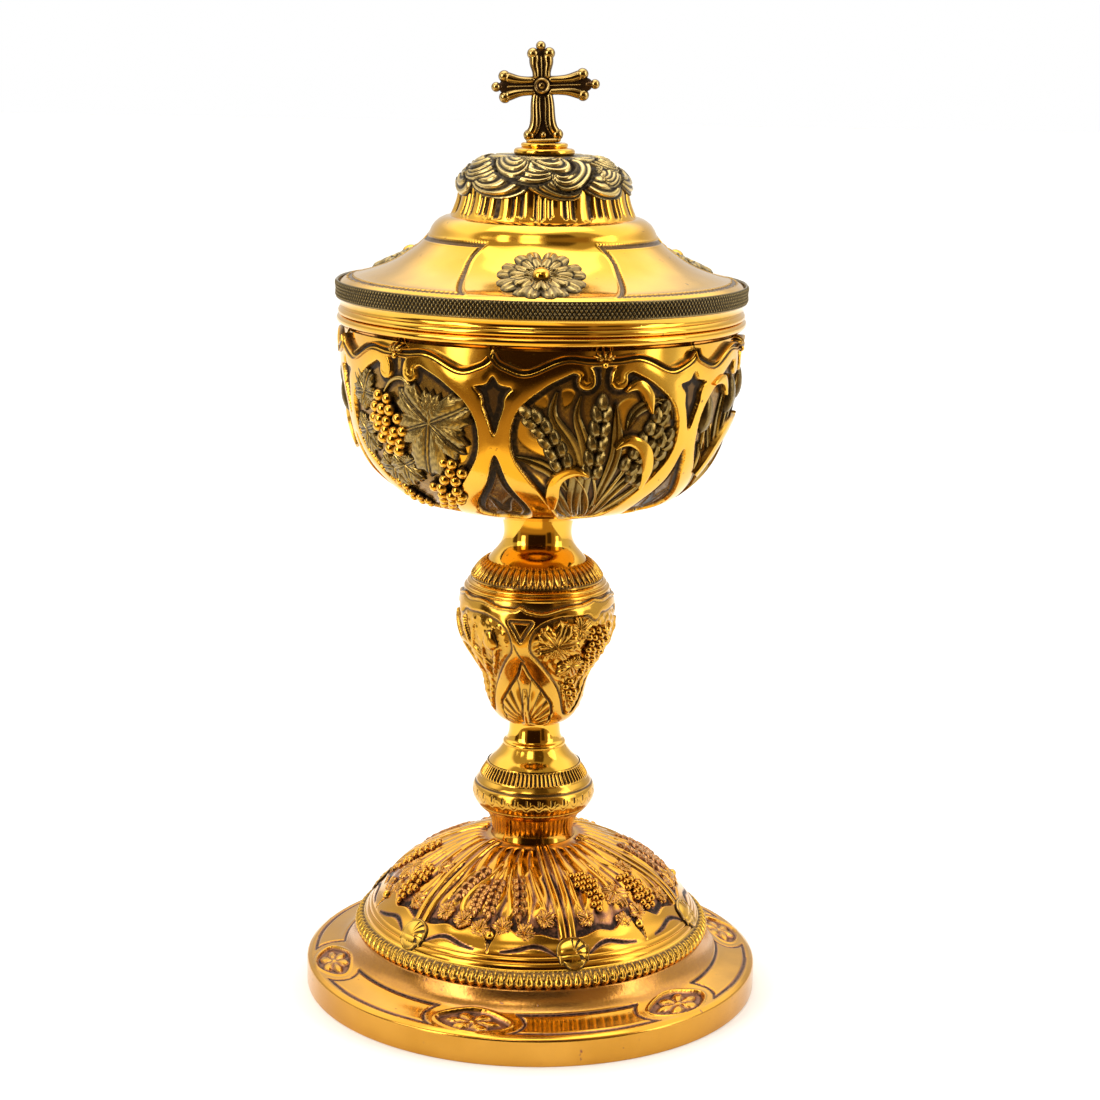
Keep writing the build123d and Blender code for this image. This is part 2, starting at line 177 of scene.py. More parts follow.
class Piece:
    """Collects vertices, faces and a value for patina and painted shade, then makes one Blender object."""

    def __init__(self):
        self.points, self.faces, self.patina = [], [], []
        self.count = 0

    def add(self, points, patina, *faces):
        """Adds one body. Each array of faces holds either triangles or quads of its vertices."""
        points = np.asarray(points, float).reshape(-1, 3)
        self.points.append(points)
        self.faces += [np.asarray(group, int) + self.count for group in faces]
        self.patina.append(np.broadcast_to(np.ravel(patina).astype(float), (len(points),)))
        self.count += len(points)

    def add_copies(self, bodies, patina, *faces):
        """Adds many bodies with the same faces: bodies is an array of (count, vertices, 3)."""
        count, size = bodies.shape[:2]
        offsets = (np.arange(count) * size)[:, None, None] + self.count
        self.faces += [(group[None] + offsets).reshape(-1, group.shape[1]) for group in faces]
        self.points.append(bodies.reshape(-1, 3))
        self.patina.append(np.tile(patina, count))
        self.count += count * size

    def build(self, name, body, slot, material, replaces=(), normals=None):
        """Makes the Blender object. Without normals, its edges are sharp from SHARP_FROM degrees on."""
        points = np.concatenate(self.points) * MM
        quads, tris = (np.concatenate([np.zeros((0, corners), int)]
                                      + [group for group in self.faces if group.shape[1] == corners])
                       for corners in (4, 3))
        mesh = bpy.data.meshes.new(name)
        mesh.vertices.add(len(points))
        mesh.vertices.foreach_set("co", points.astype(np.float32).ravel())
        loops = np.concatenate([quads.ravel(), tris.ravel()])
        starts = np.concatenate([np.arange(len(quads)) * 4, len(quads) * 4 + np.arange(len(tris)) * 3])
        mesh.loops.add(len(loops))
        mesh.loops.foreach_set("vertex_index", loops.astype(np.int32))
        mesh.polygons.add(len(quads) + len(tris))
        mesh.polygons.foreach_set("loop_start", starts.astype(np.int32))
        mesh.update(calc_edges=True)
        mesh.validate()
        mesh.shade_smooth()
        if normals is None:
            mesh.set_sharp_from_angle(angle=np.radians(SHARP_FROM))
        else:
            mesh.normals_split_custom_set_from_vertices(normals.astype(np.float32).tolist())
        layer = mesh.attributes.new("patina", "FLOAT", "POINT")
        layer.data.foreach_set("value", np.concatenate(self.patina).astype(np.float32))
        mesh.materials.append(material)
        made = bpy.data.objects.new(name, mesh)
        bpy.context.scene.collection.objects.link(made)
        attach(made, body)
        if replaces:
            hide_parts(*replaces)
        return made


def grid_faces(rows, columns, close_rows=False, close_columns=False):
    """Quads of a rows x columns grid of vertices."""
    i = np.arange(rows if close_rows else rows - 1)
    j = np.arange(columns if close_columns else columns - 1)
    i, j = (x.ravel() for x in np.meshgrid(i, j, indexing="ij"))
    i1, j1 = (i + 1) % rows, (j + 1) % columns
    return np.stack([i * columns + j, i * columns + j1, i1 * columns + j1, i1 * columns + j], 1)


def pole_fans(rings, around):
    """Triangles that close a stack of rings at both ends, on two poles that follow its vertices."""
    k = np.arange(around)
    after = (k + 1) % around
    last, low = (rings - 1) * around, rings * around
    return np.concatenate([np.stack([after, k, np.full(around, low)], 1),
                           np.stack([last + k, last + after, np.full(around, low + 1)], 1)])


def lathe(name, body, replaces, loop, around):
    """A polished piece: a closed loop of (r, z) points turned all the way round, up on its outside."""
    turn = np.radians(np.arange(around) * 360 / around)
    first, points = [], []
    for r, z in loop:
        count = around if r > 1e-6 else 1  # one vertex where the loop meets the axis
        first.append(len(points))
        points.extend(zip(r * np.sin(turn[:count]), -r * np.cos(turn[:count]), [z] * count))
    sizes = np.diff(first + [len(points)])
    k = np.arange(around)
    k1 = (k + 1) % around
    quads, tris = [], []
    for i in range(len(loop)):
        j = (i + 1) % len(loop)
        low, high = first[i], first[j]
        if sizes[i] > 1 and sizes[j] > 1:
            quads.append(np.stack([low + k, low + k1, high + k1, high + k], 1))
        elif sizes[i] > 1:
            tris.append(np.stack([low + k, low + k1, np.full(around, high)], 1))
        elif sizes[j] > 1:
            tris.append(np.stack([np.full(around, low), high + k1, high + k], 1))
    piece = Piece()
    piece.add(points, 0.0, *(np.concatenate(group) for group in (quads, tris) if group))
    piece.build(name, body, "bright_gilt", polished, [replaces])


def arc(r, z, radius, start, end, steps=10):
    """Points of a circular arc in the (r, z) plane, between two angles in degrees."""
    turn = np.radians(np.linspace(start, end, steps))
    return np.stack([r + radius * np.cos(turn), z + radius * np.sin(turn)], 1)


def sweep(piece, surface, path, width, section, height, patina=None, step=0.45):
    """Lays a strip with a shaped cross-section along a path of (azimuth, s) on a surface.

    width is half the strip's width in mm, as one number or as values spread along the path.
    section is a list of (across, up) points from one edge to the other, in -1..1 and 0..1.
    It returns the middle line with the half widths, for painting shade on the ground beside it.
    """
    path = np.array(path, float)
    scale = surface.mm_per_degree(path[:, 1].mean())
    line = spline(path * [scale, 1], step) / [scale, 1]
    count = len(line)
    half = evenly(width, count)
    centre = surface.at(line[:, 0], line[:, 1])
    up = surface.out(line[:, 0], line[:, 1])
    side = np.cross(unit(np.gradient(centre, axis=0)), up)
    across, lift = np.array(section, float).T
    points = (centre[:, None] + side[:, None] * (across[None, :, None] * half[:, None, None])
              + up[:, None] * (lift[None, :, None] * evenly(height, count)[:, None, None]))
    bottom = [centre[:, None] + side[:, None] * (edge * half[:, None, None]) - up[:, None] * SWEEP_SUNK
              for edge in (across[-1], across[0])]
    points = np.concatenate([points] + bottom, 1)
    # painted shade: unless given, the strip is darker towards its feet and lightest along its top
    dark = np.concatenate([patina if patina is not None else 0.9 * (1 - lift) ** 1.5, [1, 1]])
    corners = len(dark)
    piece.add(points, np.tile(dark, count), grid_faces(count, corners, False, True))
    fan = np.array([[k, (k + 1) % corners, corners] for k in range(corners)])
    for ring, faces in ((points[0], fan[:, ::-1]), (points[-1], fan)):
        piece.add(np.vstack([ring, ring.mean(0)]), np.append(dark, dark.mean()), faces)
    return np.concatenate([centre, half[:, None]], 1)


STRAP = [(-1, 0), (-0.98, 0.55), (-0.86, 0.92), (-0.6, 1), (0, 1.03), (0.6, 1), (0.86, 0.92), (0.98, 0.55),
         (1, 0)]
ROUND = [(-1, 0), (-0.92, 0.38), (-0.7, 0.7), (-0.38, 0.92), (0, 1), (0.38, 0.92), (0.7, 0.7), (0.92, 0.38),
         (1, 0)]
LEAF = [(-1, 0), (-0.95, 0.45), (-0.7, 0.62), (-0.3, 0.55), (-0.06, 0.42), (0, 1.0), (0.06, 0.42),
        (0.3, 0.55),
        (0.7, 0.62), (0.95, 0.45), (1, 0)]
TROUGH = [(-1, 0), (-0.97, 0.85), (-0.84, 1.0), (-0.66, 0.82), (-0.36, 0.42), (0, 0.34), (0.36, 0.42),
          (0.66, 0.82),
          (0.84, 1.0), (0.97, 0.85), (1, 0)]
# painted light on the border wave: dark at its feet and in its trough, lightest on its two crests
TROUGH_SHADE = [1, 0.2, 0.0, 0.6, 1, 1, 1, 0.6, 0.0, 0.2, 1]


def sphere(rings, around):
    """A unit sphere with its poles last, and its faces."""
    v = np.radians(np.linspace(-90, 90, rings + 2))[1:-1]
    u = np.radians(np.arange(around) * 360 / around)
    points = np.stack([np.outer(np.cos(v), np.cos(u)), np.outer(np.cos(v), np.sin(u)),
                       np.outer(np.sin(v), np.ones(around))], -1).reshape(-1, 3)
    points = np.vstack([points, [0, 0, -1], [0, 0, 1]])
    return points, grid_faces(rings, around, False, True), pole_fans(rings, around)


def balls(piece, surface, spots, radius, lift=0.6, squash=1.0, rings=7, around=12, shade=1.0):
    """Beads at (azimuth, s) spots, painted dark underneath and light on top. Returns their centres and radii
    for painting shade on the ground round them.
    """
    spots = np.array(spots, float)
    radius = np.broadcast_to(radius, (len(spots),))
    shape, quads, caps = sphere(rings, around)
    centre, up, side, rise = surface.axes(spots)
    middle = centre + up * (lift * radius)[:, None]
    bodies = (middle[:, None] + radius[:, None, None] * (
        shape[None, :, 0:1] * side[:, None] + shape[None, :, 1:2] * rise[:, None]
        + squash * shape[None, :, 2:3] * up[:, None]))
    # painted shade: dark where each bead meets the ground, lightest on its top
    piece.add_copies(bodies, shade * np.clip(0.75 - shape[:, 2] * 1.6, 0, 1), quads, caps)
    return np.concatenate([centre, radius[:, None]], 1)


def grains(piece, surface, spots, length, width, height, lean, patina=(0.85, 0.25)):
    """Pointed grains at (azimuth, s), each lying along its own heading in degrees from straight up."""
    spots = np.array(spots, float)
    lean = np.radians(np.broadcast_to(lean, (len(spots),)))
    along = np.linspace(0, 1, 9)
    fat = np.sin(np.pi * along**0.85) ** 0.62
    fat[[0, -1]] = 0.04
    across = np.array([-1, -0.75, -0.4, 0, 0.4, 0.75, 1.0])
    hump = np.sqrt(1 - (across * 0.98) ** 2)
    crease = 0.88 + 0.12 * np.clip(np.abs(across) / 0.3, 0, 1)
    centre, up, side, rise = surface.axes(spots)
    cos, sin = np.cos(lean)[:, None], np.sin(lean)[:, None]
    ahead, side = rise * cos + side * sin, side * cos - rise * sin
    x = (along - 0.5)[:, None] * length + 0 * across[None]
    y = fat[:, None] * across[None] * width / 2
    z = fat[:, None] * (hump * crease)[None] * height
    x, y = (np.concatenate([grid, grid[:, -1:], grid[:, :1]], 1) for grid in (x, y))
    z = np.pad(z, ((0, 0), (0, 2)), constant_values=-SUNK)
    # painted light: each grain is lightest along its crown and darker towards its edges
    crest_light = np.clip(hump * 1.25 - 0.2, 0, 1)
    dark = np.concatenate([patina[0] + (patina[1] - patina[0]) * crest_light, [1, 1]])
    bodies = (centre[:, None, None] + x[None, :, :, None] * ahead[:, None, None]
              + y[None, :, :, None] * side[:, None, None] + z[None, :, :, None] * up[:, None, None])
    rows, columns = x.shape
    ends = np.array([[0, k, k + 1] for k in range(1, columns - 1)])
    ends = np.concatenate([ends[:, ::-1], ends + (rows - 1) * columns])
    piece.add_copies(bodies.reshape(len(spots), -1, 3), np.tile(dark, rows),
                     grid_faces(rows, columns, False, True), ends)
    return np.concatenate([centre, np.full((len(spots), 1), width / 2)], 1)


def patch(piece, surface, centre, heading, outline, height, patina, rings=12, around=120):
    """A raised leaf or petal. outline(angle) is its reach in mm, height and patina take (share, angle)."""
    angle = np.radians(np.arange(around) * 360 / around)
    rho, theta = np.meshgrid(np.linspace(0, 1, rings) ** 0.9, angle, indexing="ij")
    reach = outline(theta)
    turn = np.radians(heading)
    s = centre[1] + rho * reach * np.cos(theta + turn)
    a = centre[0] + np.degrees(rho * reach * np.sin(theta + turn) / surface.r_at(s))
    top = surface.at(a, s, height(rho, theta))
    foot = surface.at(a[-1], s[-1], -SUNK)
    dark = np.concatenate([patina(rho, theta), np.ones((1, around))], 0)
    piece.add(np.concatenate([top, foot[None]], 0), dark, grid_faces(rings + 1, around, False, True))
    return np.concatenate([top[rings // 2], np.full((around, 1), 1.0)], 1)


FAR = 1e9  # starting value for a nearest distance, in mm
CHUNK = 120  # how many points are compared at once, which bounds the memory
CURVE_STEP = 0.35


def near(points, spots, reach):
    """How close each point is to the nearest spot: 1 on it, 0 beyond its radius plus reach."""
    if not len(spots):
        return np.zeros(len(points))
    best = np.full(len(points), FAR)
    for first in range(0, len(spots), CHUNK):
        some = spots[first : first + CHUNK]
        gap = np.linalg.norm(points[:, None] - some[None, :, :3], axis=2) - some[None, :, 3]
        best = np.minimum(best, gap.min(1))
    return np.clip(1 - np.clip(best, 0, None) / reach, 0, 1)


def inside(x, y, outline):
    """Whether points lie inside a closed outline in the same plane."""
    ox, oy = outline[:, 0], outline[:, 1]
    px, py = np.roll(ox, 1), np.roll(oy, 1)
    result = np.zeros(x.shape, bool)
    for x0, y0, x1, y1 in zip(ox, oy, px, py):
        if y0 != y1:
            result ^= ((y0 > y) != (y1 > y)) & (x < (x1 - x0) * (y - y0) / (y1 - y0) + x0)
    return result


def mirrored(half):
    """A closed outline from its right half, which runs from the top to the bottom."""
    half = np.array(half, float)
    left = half[::-1] * [-1, 1]
    keep = left[(left[:, 0] != 0)]
    return np.vstack([half, keep])


# --- materials ------------------------------------------------------------------------
WAVINESS = 0.10  # height in mm of the slow unevenness left by the hammer


def gilt(name, bright, middle, dark, gloss=0.13, dull=0.42, grain=0.0, grain_scale=900.0, cloud=0.35):
    """Gilt metal. The attribute for patina and painted shade turns it from polished gold through a tarnished
    colour to oxide.
    """
    made = bpy.data.materials.new(name)
    made.use_nodes = True
    nodes, links = made.node_tree.nodes, made.node_tree.links
    shader = nodes["Principled BSDF"]
    shader.inputs["Specular IOR Level"].default_value = 0.2
    patina = nodes.new("ShaderNodeAttribute")
    patina.attribute_name = "patina"
    place = nodes.new("ShaderNodeTexCoord")

    def noise(scale, detail):
        node = nodes.new("ShaderNodeTexNoise")
        node.inputs["Scale"].default_value = scale
        node.inputs["Detail"].default_value = detail
        links.new(place.outputs["Object"], node.inputs["Vector"])
        return node.outputs["Fac"]

    def maths(kind, a, b, clamp=False):
        node = nodes.new("ShaderNodeMath")
        node.operation = kind
        node.use_clamp = clamp
        for socket, value in zip(node.inputs, (a, b)):
            if isinstance(value, float):
                socket.default_value = value
            else:
                links.new(value, socket)
        return node.outputs[0]

    def ramp(value, *stops):
        node = nodes.new("ShaderNodeValToRGB")
        while len(node.color_ramp.elements) < len(stops):
            node.color_ramp.elements.new(0.5)
        for element, (position, colour) in zip(node.color_ramp.elements, stops):
            element.position = position
            element.color = (*colour, 1)
        links.new(value, node.inputs["Fac"])
        return node.outputs["Color"]

    broad = noise(55.0, 4.0)
    fine = noise(grain_scale, 3.0)
    specks = noise(420.0, 2.0)
    # patina and painted shade break up at their edges, and a few dark specks sit on the polished metal
    wobble = maths("MULTIPLY", maths("SUBTRACT", fine, 0.5), 0.7)
    speck = maths("MULTIPLY", maths("SUBTRACT", specks, 0.71, True), 5.0)
    wear_and_shade = maths("ADD", patina.outputs["Fac"], maths("MULTIPLY", wobble, patina.outputs["Fac"]))
    wear_and_shade = maths("ADD", wear_and_shade, speck, True)
    metal_colour = ramp(wear_and_shade, (0.0, bright), (0.5, middle), (1.0, dark))
    clouding = ramp(broad, (0.32, (0.86, 0.82, 0.70)), (0.66, (1.0, 1.0, 1.0)))
    colour = nodes.new("ShaderNodeMix")
    colour.data_type = "RGBA"
    colour.blend_type = "MULTIPLY"
    colour.inputs["Factor"].default_value = 1.0
    links.new(metal_colour, colour.inputs["A"])
    links.new(clouding, colour.inputs["B"])
    links.new(colour.outputs["Result"], shader.inputs["Base Color"])
    links.new(maths("SUBTRACT", 1.0, maths("MULTIPLY", wear_and_shade, 0.45)), shader.inputs["Metallic"])
    rough = maths("ADD", gloss, maths("MULTIPLY", wear_and_shade, dull - gloss))
    rough = maths("ADD", rough, maths("MULTIPLY", maths("SUBTRACT", broad, 0.5), cloud * gloss))
    links.new(rough, shader.inputs["Roughness"])
    bump = nodes.new("ShaderNodeBump")
    bump.inputs["Strength"].default_value = 1.0
    bump.inputs["Distance"].default_value = MM
    depth = maths("ADD", maths("MULTIPLY", wear_and_shade, 0.10), 0.004 + grain)
    ripple = maths("MULTIPLY", noise(95.0, 1.0), WAVINESS)
    links.new(maths("ADD", maths("MULTIPLY", fine, depth), ripple), bump.inputs["Height"])
    links.new(bump.outputs["Normal"], shader.inputs["Normal"])
    return made


GOLD = (0.87, 0.49, 0.065)
TARNISH = (0.15, 0.082, 0.030)
OXIDE = (0.020, 0.013, 0.008)
MAUVE = (0.36, 0.155, 0.085)
polished = gilt("polished_gilt", GOLD, TARNISH, OXIDE, gloss=0.09)
chased = gilt("chased_gilt", GOLD, TARNISH, OXIDE, gloss=0.13)
leafage = gilt("leaf_gilt", (0.50, 0.345, 0.105), (0.11, 0.075, 0.030), OXIDE, gloss=0.16)
stem_gilt = gilt("stem_gilt", (0.68, 0.37, 0.054), TARNISH, OXIDE, gloss=0.13)
coppery = gilt("coppery_gilt", (0.71, 0.355, 0.043), MAUVE, (0.024, 0.012, 0.008), gloss=0.14)
matted = gilt("matted_gilt", (0.52, 0.37, 0.135), (0.15, 0.11, 0.05), OXIDE, gloss=0.22, dull=0.6,
              grain=0.02)
milled = gilt("milled_gilt", (0.34, 0.25, 0.105), (0.07, 0.052, 0.024), (0.014, 0.010, 0.006), gloss=0.22)
crown_gilt = gilt("crown_gilt", (0.72, 0.54, 0.225), (0.15, 0.11, 0.05), OXIDE, gloss=0.20, dull=0.5,
                  grain=0.015)
bronze = gilt("dark_bronze", (0.58, 0.40, 0.14), (0.11, 0.055, 0.022), (0.018, 0.009, 0.005), gloss=0.14,
              grain_scale=260.0)
steel = gilt("turned_steel", (0.55, 0.55, 0.56), (0.3, 0.3, 0.3), (0.12, 0.11, 0.10), gloss=0.3)


# --- relief on turned surfaces --------------------------------------------------------
COARSE = 8
BACK_PATINA = 0.3


def stitch(long, short):
    """Triangles between a run of vertices and a coarser run beside it, on the left of its direction."""
    pair = np.round(np.arange(len(long)) * (len(short) - 1) / (len(long) - 1)).astype(int)
    long, short = np.asarray(long), np.asarray(short)
    near_long = np.stack([long[:-1], long[1:], short[pair[:-1]]], 1)
    step = pair[1:] > pair[:-1]
    near_short = np.stack([long[1:][step], short[pair[1:][step]], short[pair[:-1][step]]], 1)
    return np.concatenate([near_long, near_short])


class Ground:
    """One period of a chased surface: grids of azimuth, length, height, and patina with painted shade."""

    def __init__(self, surface, period, columns, rows):
        self.surface, self.period, self.columns = surface, period, columns
        self.rows = np.asarray(rows, float)
        self.a, self.s = np.meshgrid((np.arange(columns) / columns - 0.5) * period, self.rows)
        self.xyz = surface.at(self.a, self.s)
        self.height = np.zeros(self.a.shape)
        self.patina = np.zeros(self.a.shape)

    def copy(self):
        """The same ground with its own height, and patina with painted shade."""
        other = Ground(self.surface, self.period, self.columns, self.rows)
        other.height, other.patina = self.height.copy(), self.patina.copy()
        return other

    def to_curve(self, curve, width=0.0):
        """Distance in mm to an (azimuth, s) polyline, less half its width along it."""
        half = evenly(width, len(curve))
        best = np.full(self.a.size, FAR, np.float32)
        flat = self.xyz.reshape(-1, 3).astype(np.float32)
        for turn in (-self.period, 0, self.period):
            line = self.surface.at(curve[:, 0] + turn, curve[:, 1]).astype(np.float32)
            for first in range(0, len(line), CHUNK):
                some = slice(first, first + CHUNK)
                gap = np.sqrt(((flat[:, None] - line[None, some]) ** 2).sum(2)) - half[None, some]
                best = np.minimum(best, gap.min(1))
        return best.reshape(self.a.shape)

    def to_line(self, points, width=0.0):
        """The same for a smooth curve through the points."""
        return self.to_curve(spline(points, CURVE_STEP), width)

    def to_area(self, outline, closed=True):
        """Distance in mm to a closed outline of (azimuth, s): negative inside it. closed rounds it off."""
        curve = spline(outline, CURVE_STEP, True) if closed else np.asarray(outline, float)
        gap = self.to_curve(curve).astype(np.float32)
        within = np.zeros(self.a.shape, bool)
        for turn in (-self.period, 0, self.period):
            within |= inside(self.a, self.s, curve + [turn, 0])
        return np.where(within, -gap, gap)

    def ridge(self, points, width, height, flat=0.0, dark=0.0):
        """Raises a rounded strip along a curve. flat is the share of its width that is level."""
        gap = self.to_line(points, width)
        half = float(np.max(width))
        rise = np.clip(-gap / (half * (1 - flat)), 0, 1)
        raised = height * np.sqrt(1 - (1 - rise) ** 2)
        self.patina = np.where((raised > self.height) & (gap < 0), dark, self.patina)
        self.height = np.maximum(self.height, raised)
        return gap

    def groove(self, points, width, depth, dark=0.9):
        """Cuts a line along a curve."""
        gap = self.to_line(points, width)
        cut = ease(-gap, -0.15, float(np.max(width)))
        self.height = self.height - depth * cut
        self.patina = np.maximum(self.patina, dark * ease(-gap, -0.25, 0.15))

    def shade_cavities(self, reach, gain):
        """Paints shade into hollows and light onto crests, as ambient occlusion would: darker where the
        surface lies below the mean level within reach of it, in mm, and lighter where it lies above.
        """
        pitch = np.linalg.norm(self.xyz[:, 1] - self.xyz[:, 0], axis=1).mean()
        n = max(1, int(round(reach / pitch)))
        m = max(1, int(round(reach / np.diff(self.rows).mean())))
        level = self.height
        for _ in range(2):
            level = np.mean([np.roll(level, k, 1) for k in range(-n, n + 1)], 0)
            padded = np.pad(level, ((m, m), (0, 0)), mode="edge")
            level = np.mean([padded[k : k + level.shape[0]] for k in range(2 * m + 1)], 0)
        self.patina = np.clip(self.patina + gain * (level - self.height), 0, 1)


def in_a_row(grounds, field, periods, index=None):
    """A field of all periods side by side, or of the one at index with a little of its neighbours."""
    if index is None:
        return np.concatenate([getattr(grounds[k % len(grounds)], field) for k in range(periods)], 1)
    before, tile, after = (getattr(grounds[(index + k) % len(grounds)], field) for k in (-1, 0, 1))
    return np.concatenate([before[:, -1:], tile, after[:, :2]], 1)


def relief(name, body, slot, material, grounds, first, inner, replaces, split=False):
    """A shell with a chased outside. Its grounds repeat round the axis, the first one centred at first.

    split makes each period its own piece, with normals that carry on over the seams. The plain inside
    lies inner mm off the surface and is COARSE times coarser.
    """
    period, columns, surface = grounds[0].period, grounds[0].columns, grounds[0].surface
    periods = int(round(360 / period))
    for index in range(periods) if split else [None]:
        if split:
            a = first + period * index + (np.arange(-1, columns + 2) / columns - 0.5) * period
        else:
            a = first + (np.arange(columns * periods) / columns - 0.5) * period
        a, s = np.meshgrid(a, grounds[0].rows)
        dark = in_a_row(grounds, "patina", periods, index)
        outer = surface.at(a, s, in_a_row(grounds, "height", periods, index))
        wide = outer if split else np.concatenate([outer[:, -1:], outer, outer[:, :1]], 1)
        normals = np.cross(np.gradient(wide, axis=1), np.gradient(wide, axis=0))[:, 1:-1]
        if split:
            a, s, outer, dark = (grid[:, 1:-1] for grid in (a, s, outer, dark))
        normals /= np.linalg.norm(normals, axis=2)[..., None] + 1e-12
        r, c = outer.shape[:2]
        back_r = max(2, r // COARSE) + 1
        row_pick = np.round(np.linspace(0, r - 1, back_r)).astype(int)
        if split:
            back_c = max(2, c // COARSE) + 1
            column_pick = np.round(np.linspace(0, c - 1, back_c)).astype(int)
        else:
            back_c = max(60, c // COARSE)
            column_pick = np.floor(np.arange(back_c) * c / back_c).astype(int)
        at = np.ix_(row_pick, column_pick)
        back = surface.at(a[at], s[at], inner)
        over = np.arange(r * c).reshape(r, c)
        under = r * c + np.arange(back_r * back_c).reshape(back_r, back_c)
        if not split:
            over, under = (np.concatenate([grid, grid[:, :1]], 1) for grid in (over, under))
        walls = [stitch(over[-1], under[-1]), stitch(over[0][::-1], under[0][::-1])]
        if split:
            walls += [stitch(over[:, 0], under[:, 0]), stitch(over[::-1, -1], under[::-1, -1])]
        piece = Piece()
        piece.add(np.concatenate([outer.reshape(-1, 3), back.reshape(-1, 3)]),
                  np.concatenate([dark.ravel(), np.full(back_r * back_c, BACK_PATINA)]),
                  grid_faces(r, c, False, not split),
                  grid_faces(back_r, back_c, False, not split)[:, ::-1] + r * c, np.concatenate(walls))
        normals = np.concatenate([normals.reshape(-1, 3), -surface.out(a[at], s[at]).reshape(-1, 3)])
        label = f"{name}_{index + 1}" if split else name
        piece.build(label, body, slot, material, replaces, normals)


def heights(node):
    """Lowest and highest point of a CAD node, in mm."""
    low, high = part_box(node)
    return low.z / MM, high.z / MM


# --- motifs -----------------------------------------------------------------------------
FIVE_LOBES = (1.0, 0.92, 0.92, 0.72, 0.72)


def vine_leaf(piece, surface, centre, heading, size, lift, shape=FIVE_LOBES, shade=1.0):
    """A five-lobed leaf with veins and toothed edges. shape is the reach of its lobes, tip first."""
    lobes = np.radians([0, 62, -62, 124, -124])
    reach = np.array(shape)

    def off_veins(theta):
        return np.abs((theta[..., None] - lobes + np.pi) % (2 * np.pi) - np.pi)

    def outline(theta):
        lobed = (reach * (1 - 0.34 * (off_veins(theta) / np.radians(34)) ** 2.6)).max(-1)
        teeth = 0.05 * np.abs((np.degrees(theta) / 15.0) % 1 - 0.5) * 4
        return size * (np.clip(lobed, 0.56, None) + teeth - 0.06)

    def height(rho, theta):
        gap = off_veins(theta).min(-1) * rho * size
        vein = bell(gap, 0, 0.22) - 0.8 * bell(gap, 0.62, 0.35)
        rib = 0.09 * np.cos(rho * size * 2.4 + np.abs(gap) * 2.2) * ease(gap, 0.3, 1.0)
        lobe = (np.sin(np.clip(off_veins(theta).min(-1) / np.radians(31), 0, 1) * np.pi)
                * ease(rho, 0.2, 0.7))
        hump = np.sin(np.clip(rho, 0, 1) * np.pi * 0.86 + 0.35) ** 0.6
        edge = 1 - ease(rho, 0.90, 1.0)
        return (lift * (0.50 + 0.35 * hump + 0.22 * lobe) + 0.26 * vein + rib) * (0.35 + 0.65 * edge)

    def patina(rho, theta):
        gap = off_veins(theta).min(-1) * rho * size
        dark = 0.24 - 0.3 * bell(gap, 0, 0.2) + 0.55 * bell(gap, 0.6, 0.3) * (rho > 0.05)
        dark = dark + 0.75 * ease(rho, 0.93, 1.0) - 0.15 * np.cos(rho * size * 2.4 + np.abs(gap) * 2.2)
        return shade * np.clip(dark, 0, 1)

    return patch(piece, surface, centre, heading, outline, height, patina, rings=16, around=168)


def bunch(piece, surface, outline, radius, lift, pitch=2.0, shade=1.0):
    """Berries packed inside a closed outline of (azimuth, s), pitch radii apart."""
    outline = np.array(outline, float)
    middle = outline.mean(0)
    scale = surface.mm_per_degree(middle[1])
    shape = (outline - middle) * [scale, 1]
    spots = []
    gap = radius * pitch
    low, high = shape.min(0), shape.max(0)
    for row, y in enumerate(np.arange(low[1] + radius * 0.6, high[1], gap * 0.87)):
        for x in np.arange(low[0] - gap + (row % 2) * gap / 2, high[0] + gap, gap):
            spot = np.array([x, y]) + RNG.normal(0, radius * 0.16, 2)
            if inside(np.array([spot[0]]), np.array([spot[1]]), shape)[0]:
                spots.append(spot / [scale, 1] + middle)
    spots = np.array(spots)
    share = np.linalg.norm((spots - middle) * [scale, 1], axis=1)
    swell = lift + 0.5 * (1 - share / share.max())
    size = radius * RNG.uniform(0.92, 1.06, len(spots))
    return np.concatenate([balls(piece, surface, [spot], big, up, shade=shade)
                           for spot, up, big in zip(spots, swell, size)])


def ear(piece, surface, path, length, width, height, count=5):
    """A wheat ear: two rows of grains up a stalk, and one at the tip."""
    line = spline(path, 0.3)
    scale = surface.mm_per_degree(line[:, 1].mean())
    metric = line * [scale, 1]
    spots, lean = [], []
    for k in range(count):
        i = int((k + 0.5) / (count + 0.2) * (len(line) - 1))
        ahead = metric[min(i + 2, len(line) - 1)] - metric[max(i - 2, 0)]
        ahead /= np.linalg.norm(ahead)
        side = np.array([ahead[1], -ahead[0]])
        heading = np.degrees(np.arctan2(ahead[0], ahead[1]))
        taper = 1 - 0.25 * k / count
        for sign in (-1, 1):
            spots.append((metric[i] + side * sign * width * 0.47 * taper) / [scale, 1])
            lean.append(heading + sign * 17)
    ahead = metric[-1] - metric[-4]
    spots.append(line[-1])
    lean.append(np.degrees(np.arctan2(ahead[0], ahead[1])))
    return grains(piece, surface, spots, length, width, height, lean)


# --- foot -----------------------------------------------------------------------------
FOOT_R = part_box("foot_flange")[1].x / MM
FLANGE_TOP = heights("foot_flange")[1]
GADROON_TOP = heights("gadroon_ring")[1]
DOME_TOP = heights("foot_dome")[1]
SHEET, STEM_WALL, LID_SHEET = 1.2, 1.2, 1.0
SCALLOPS = 6
SCALLOP_AZ = 15.0  # one scallop, almond and panel each 60 degrees round from here
ALMOND_R = 62.6

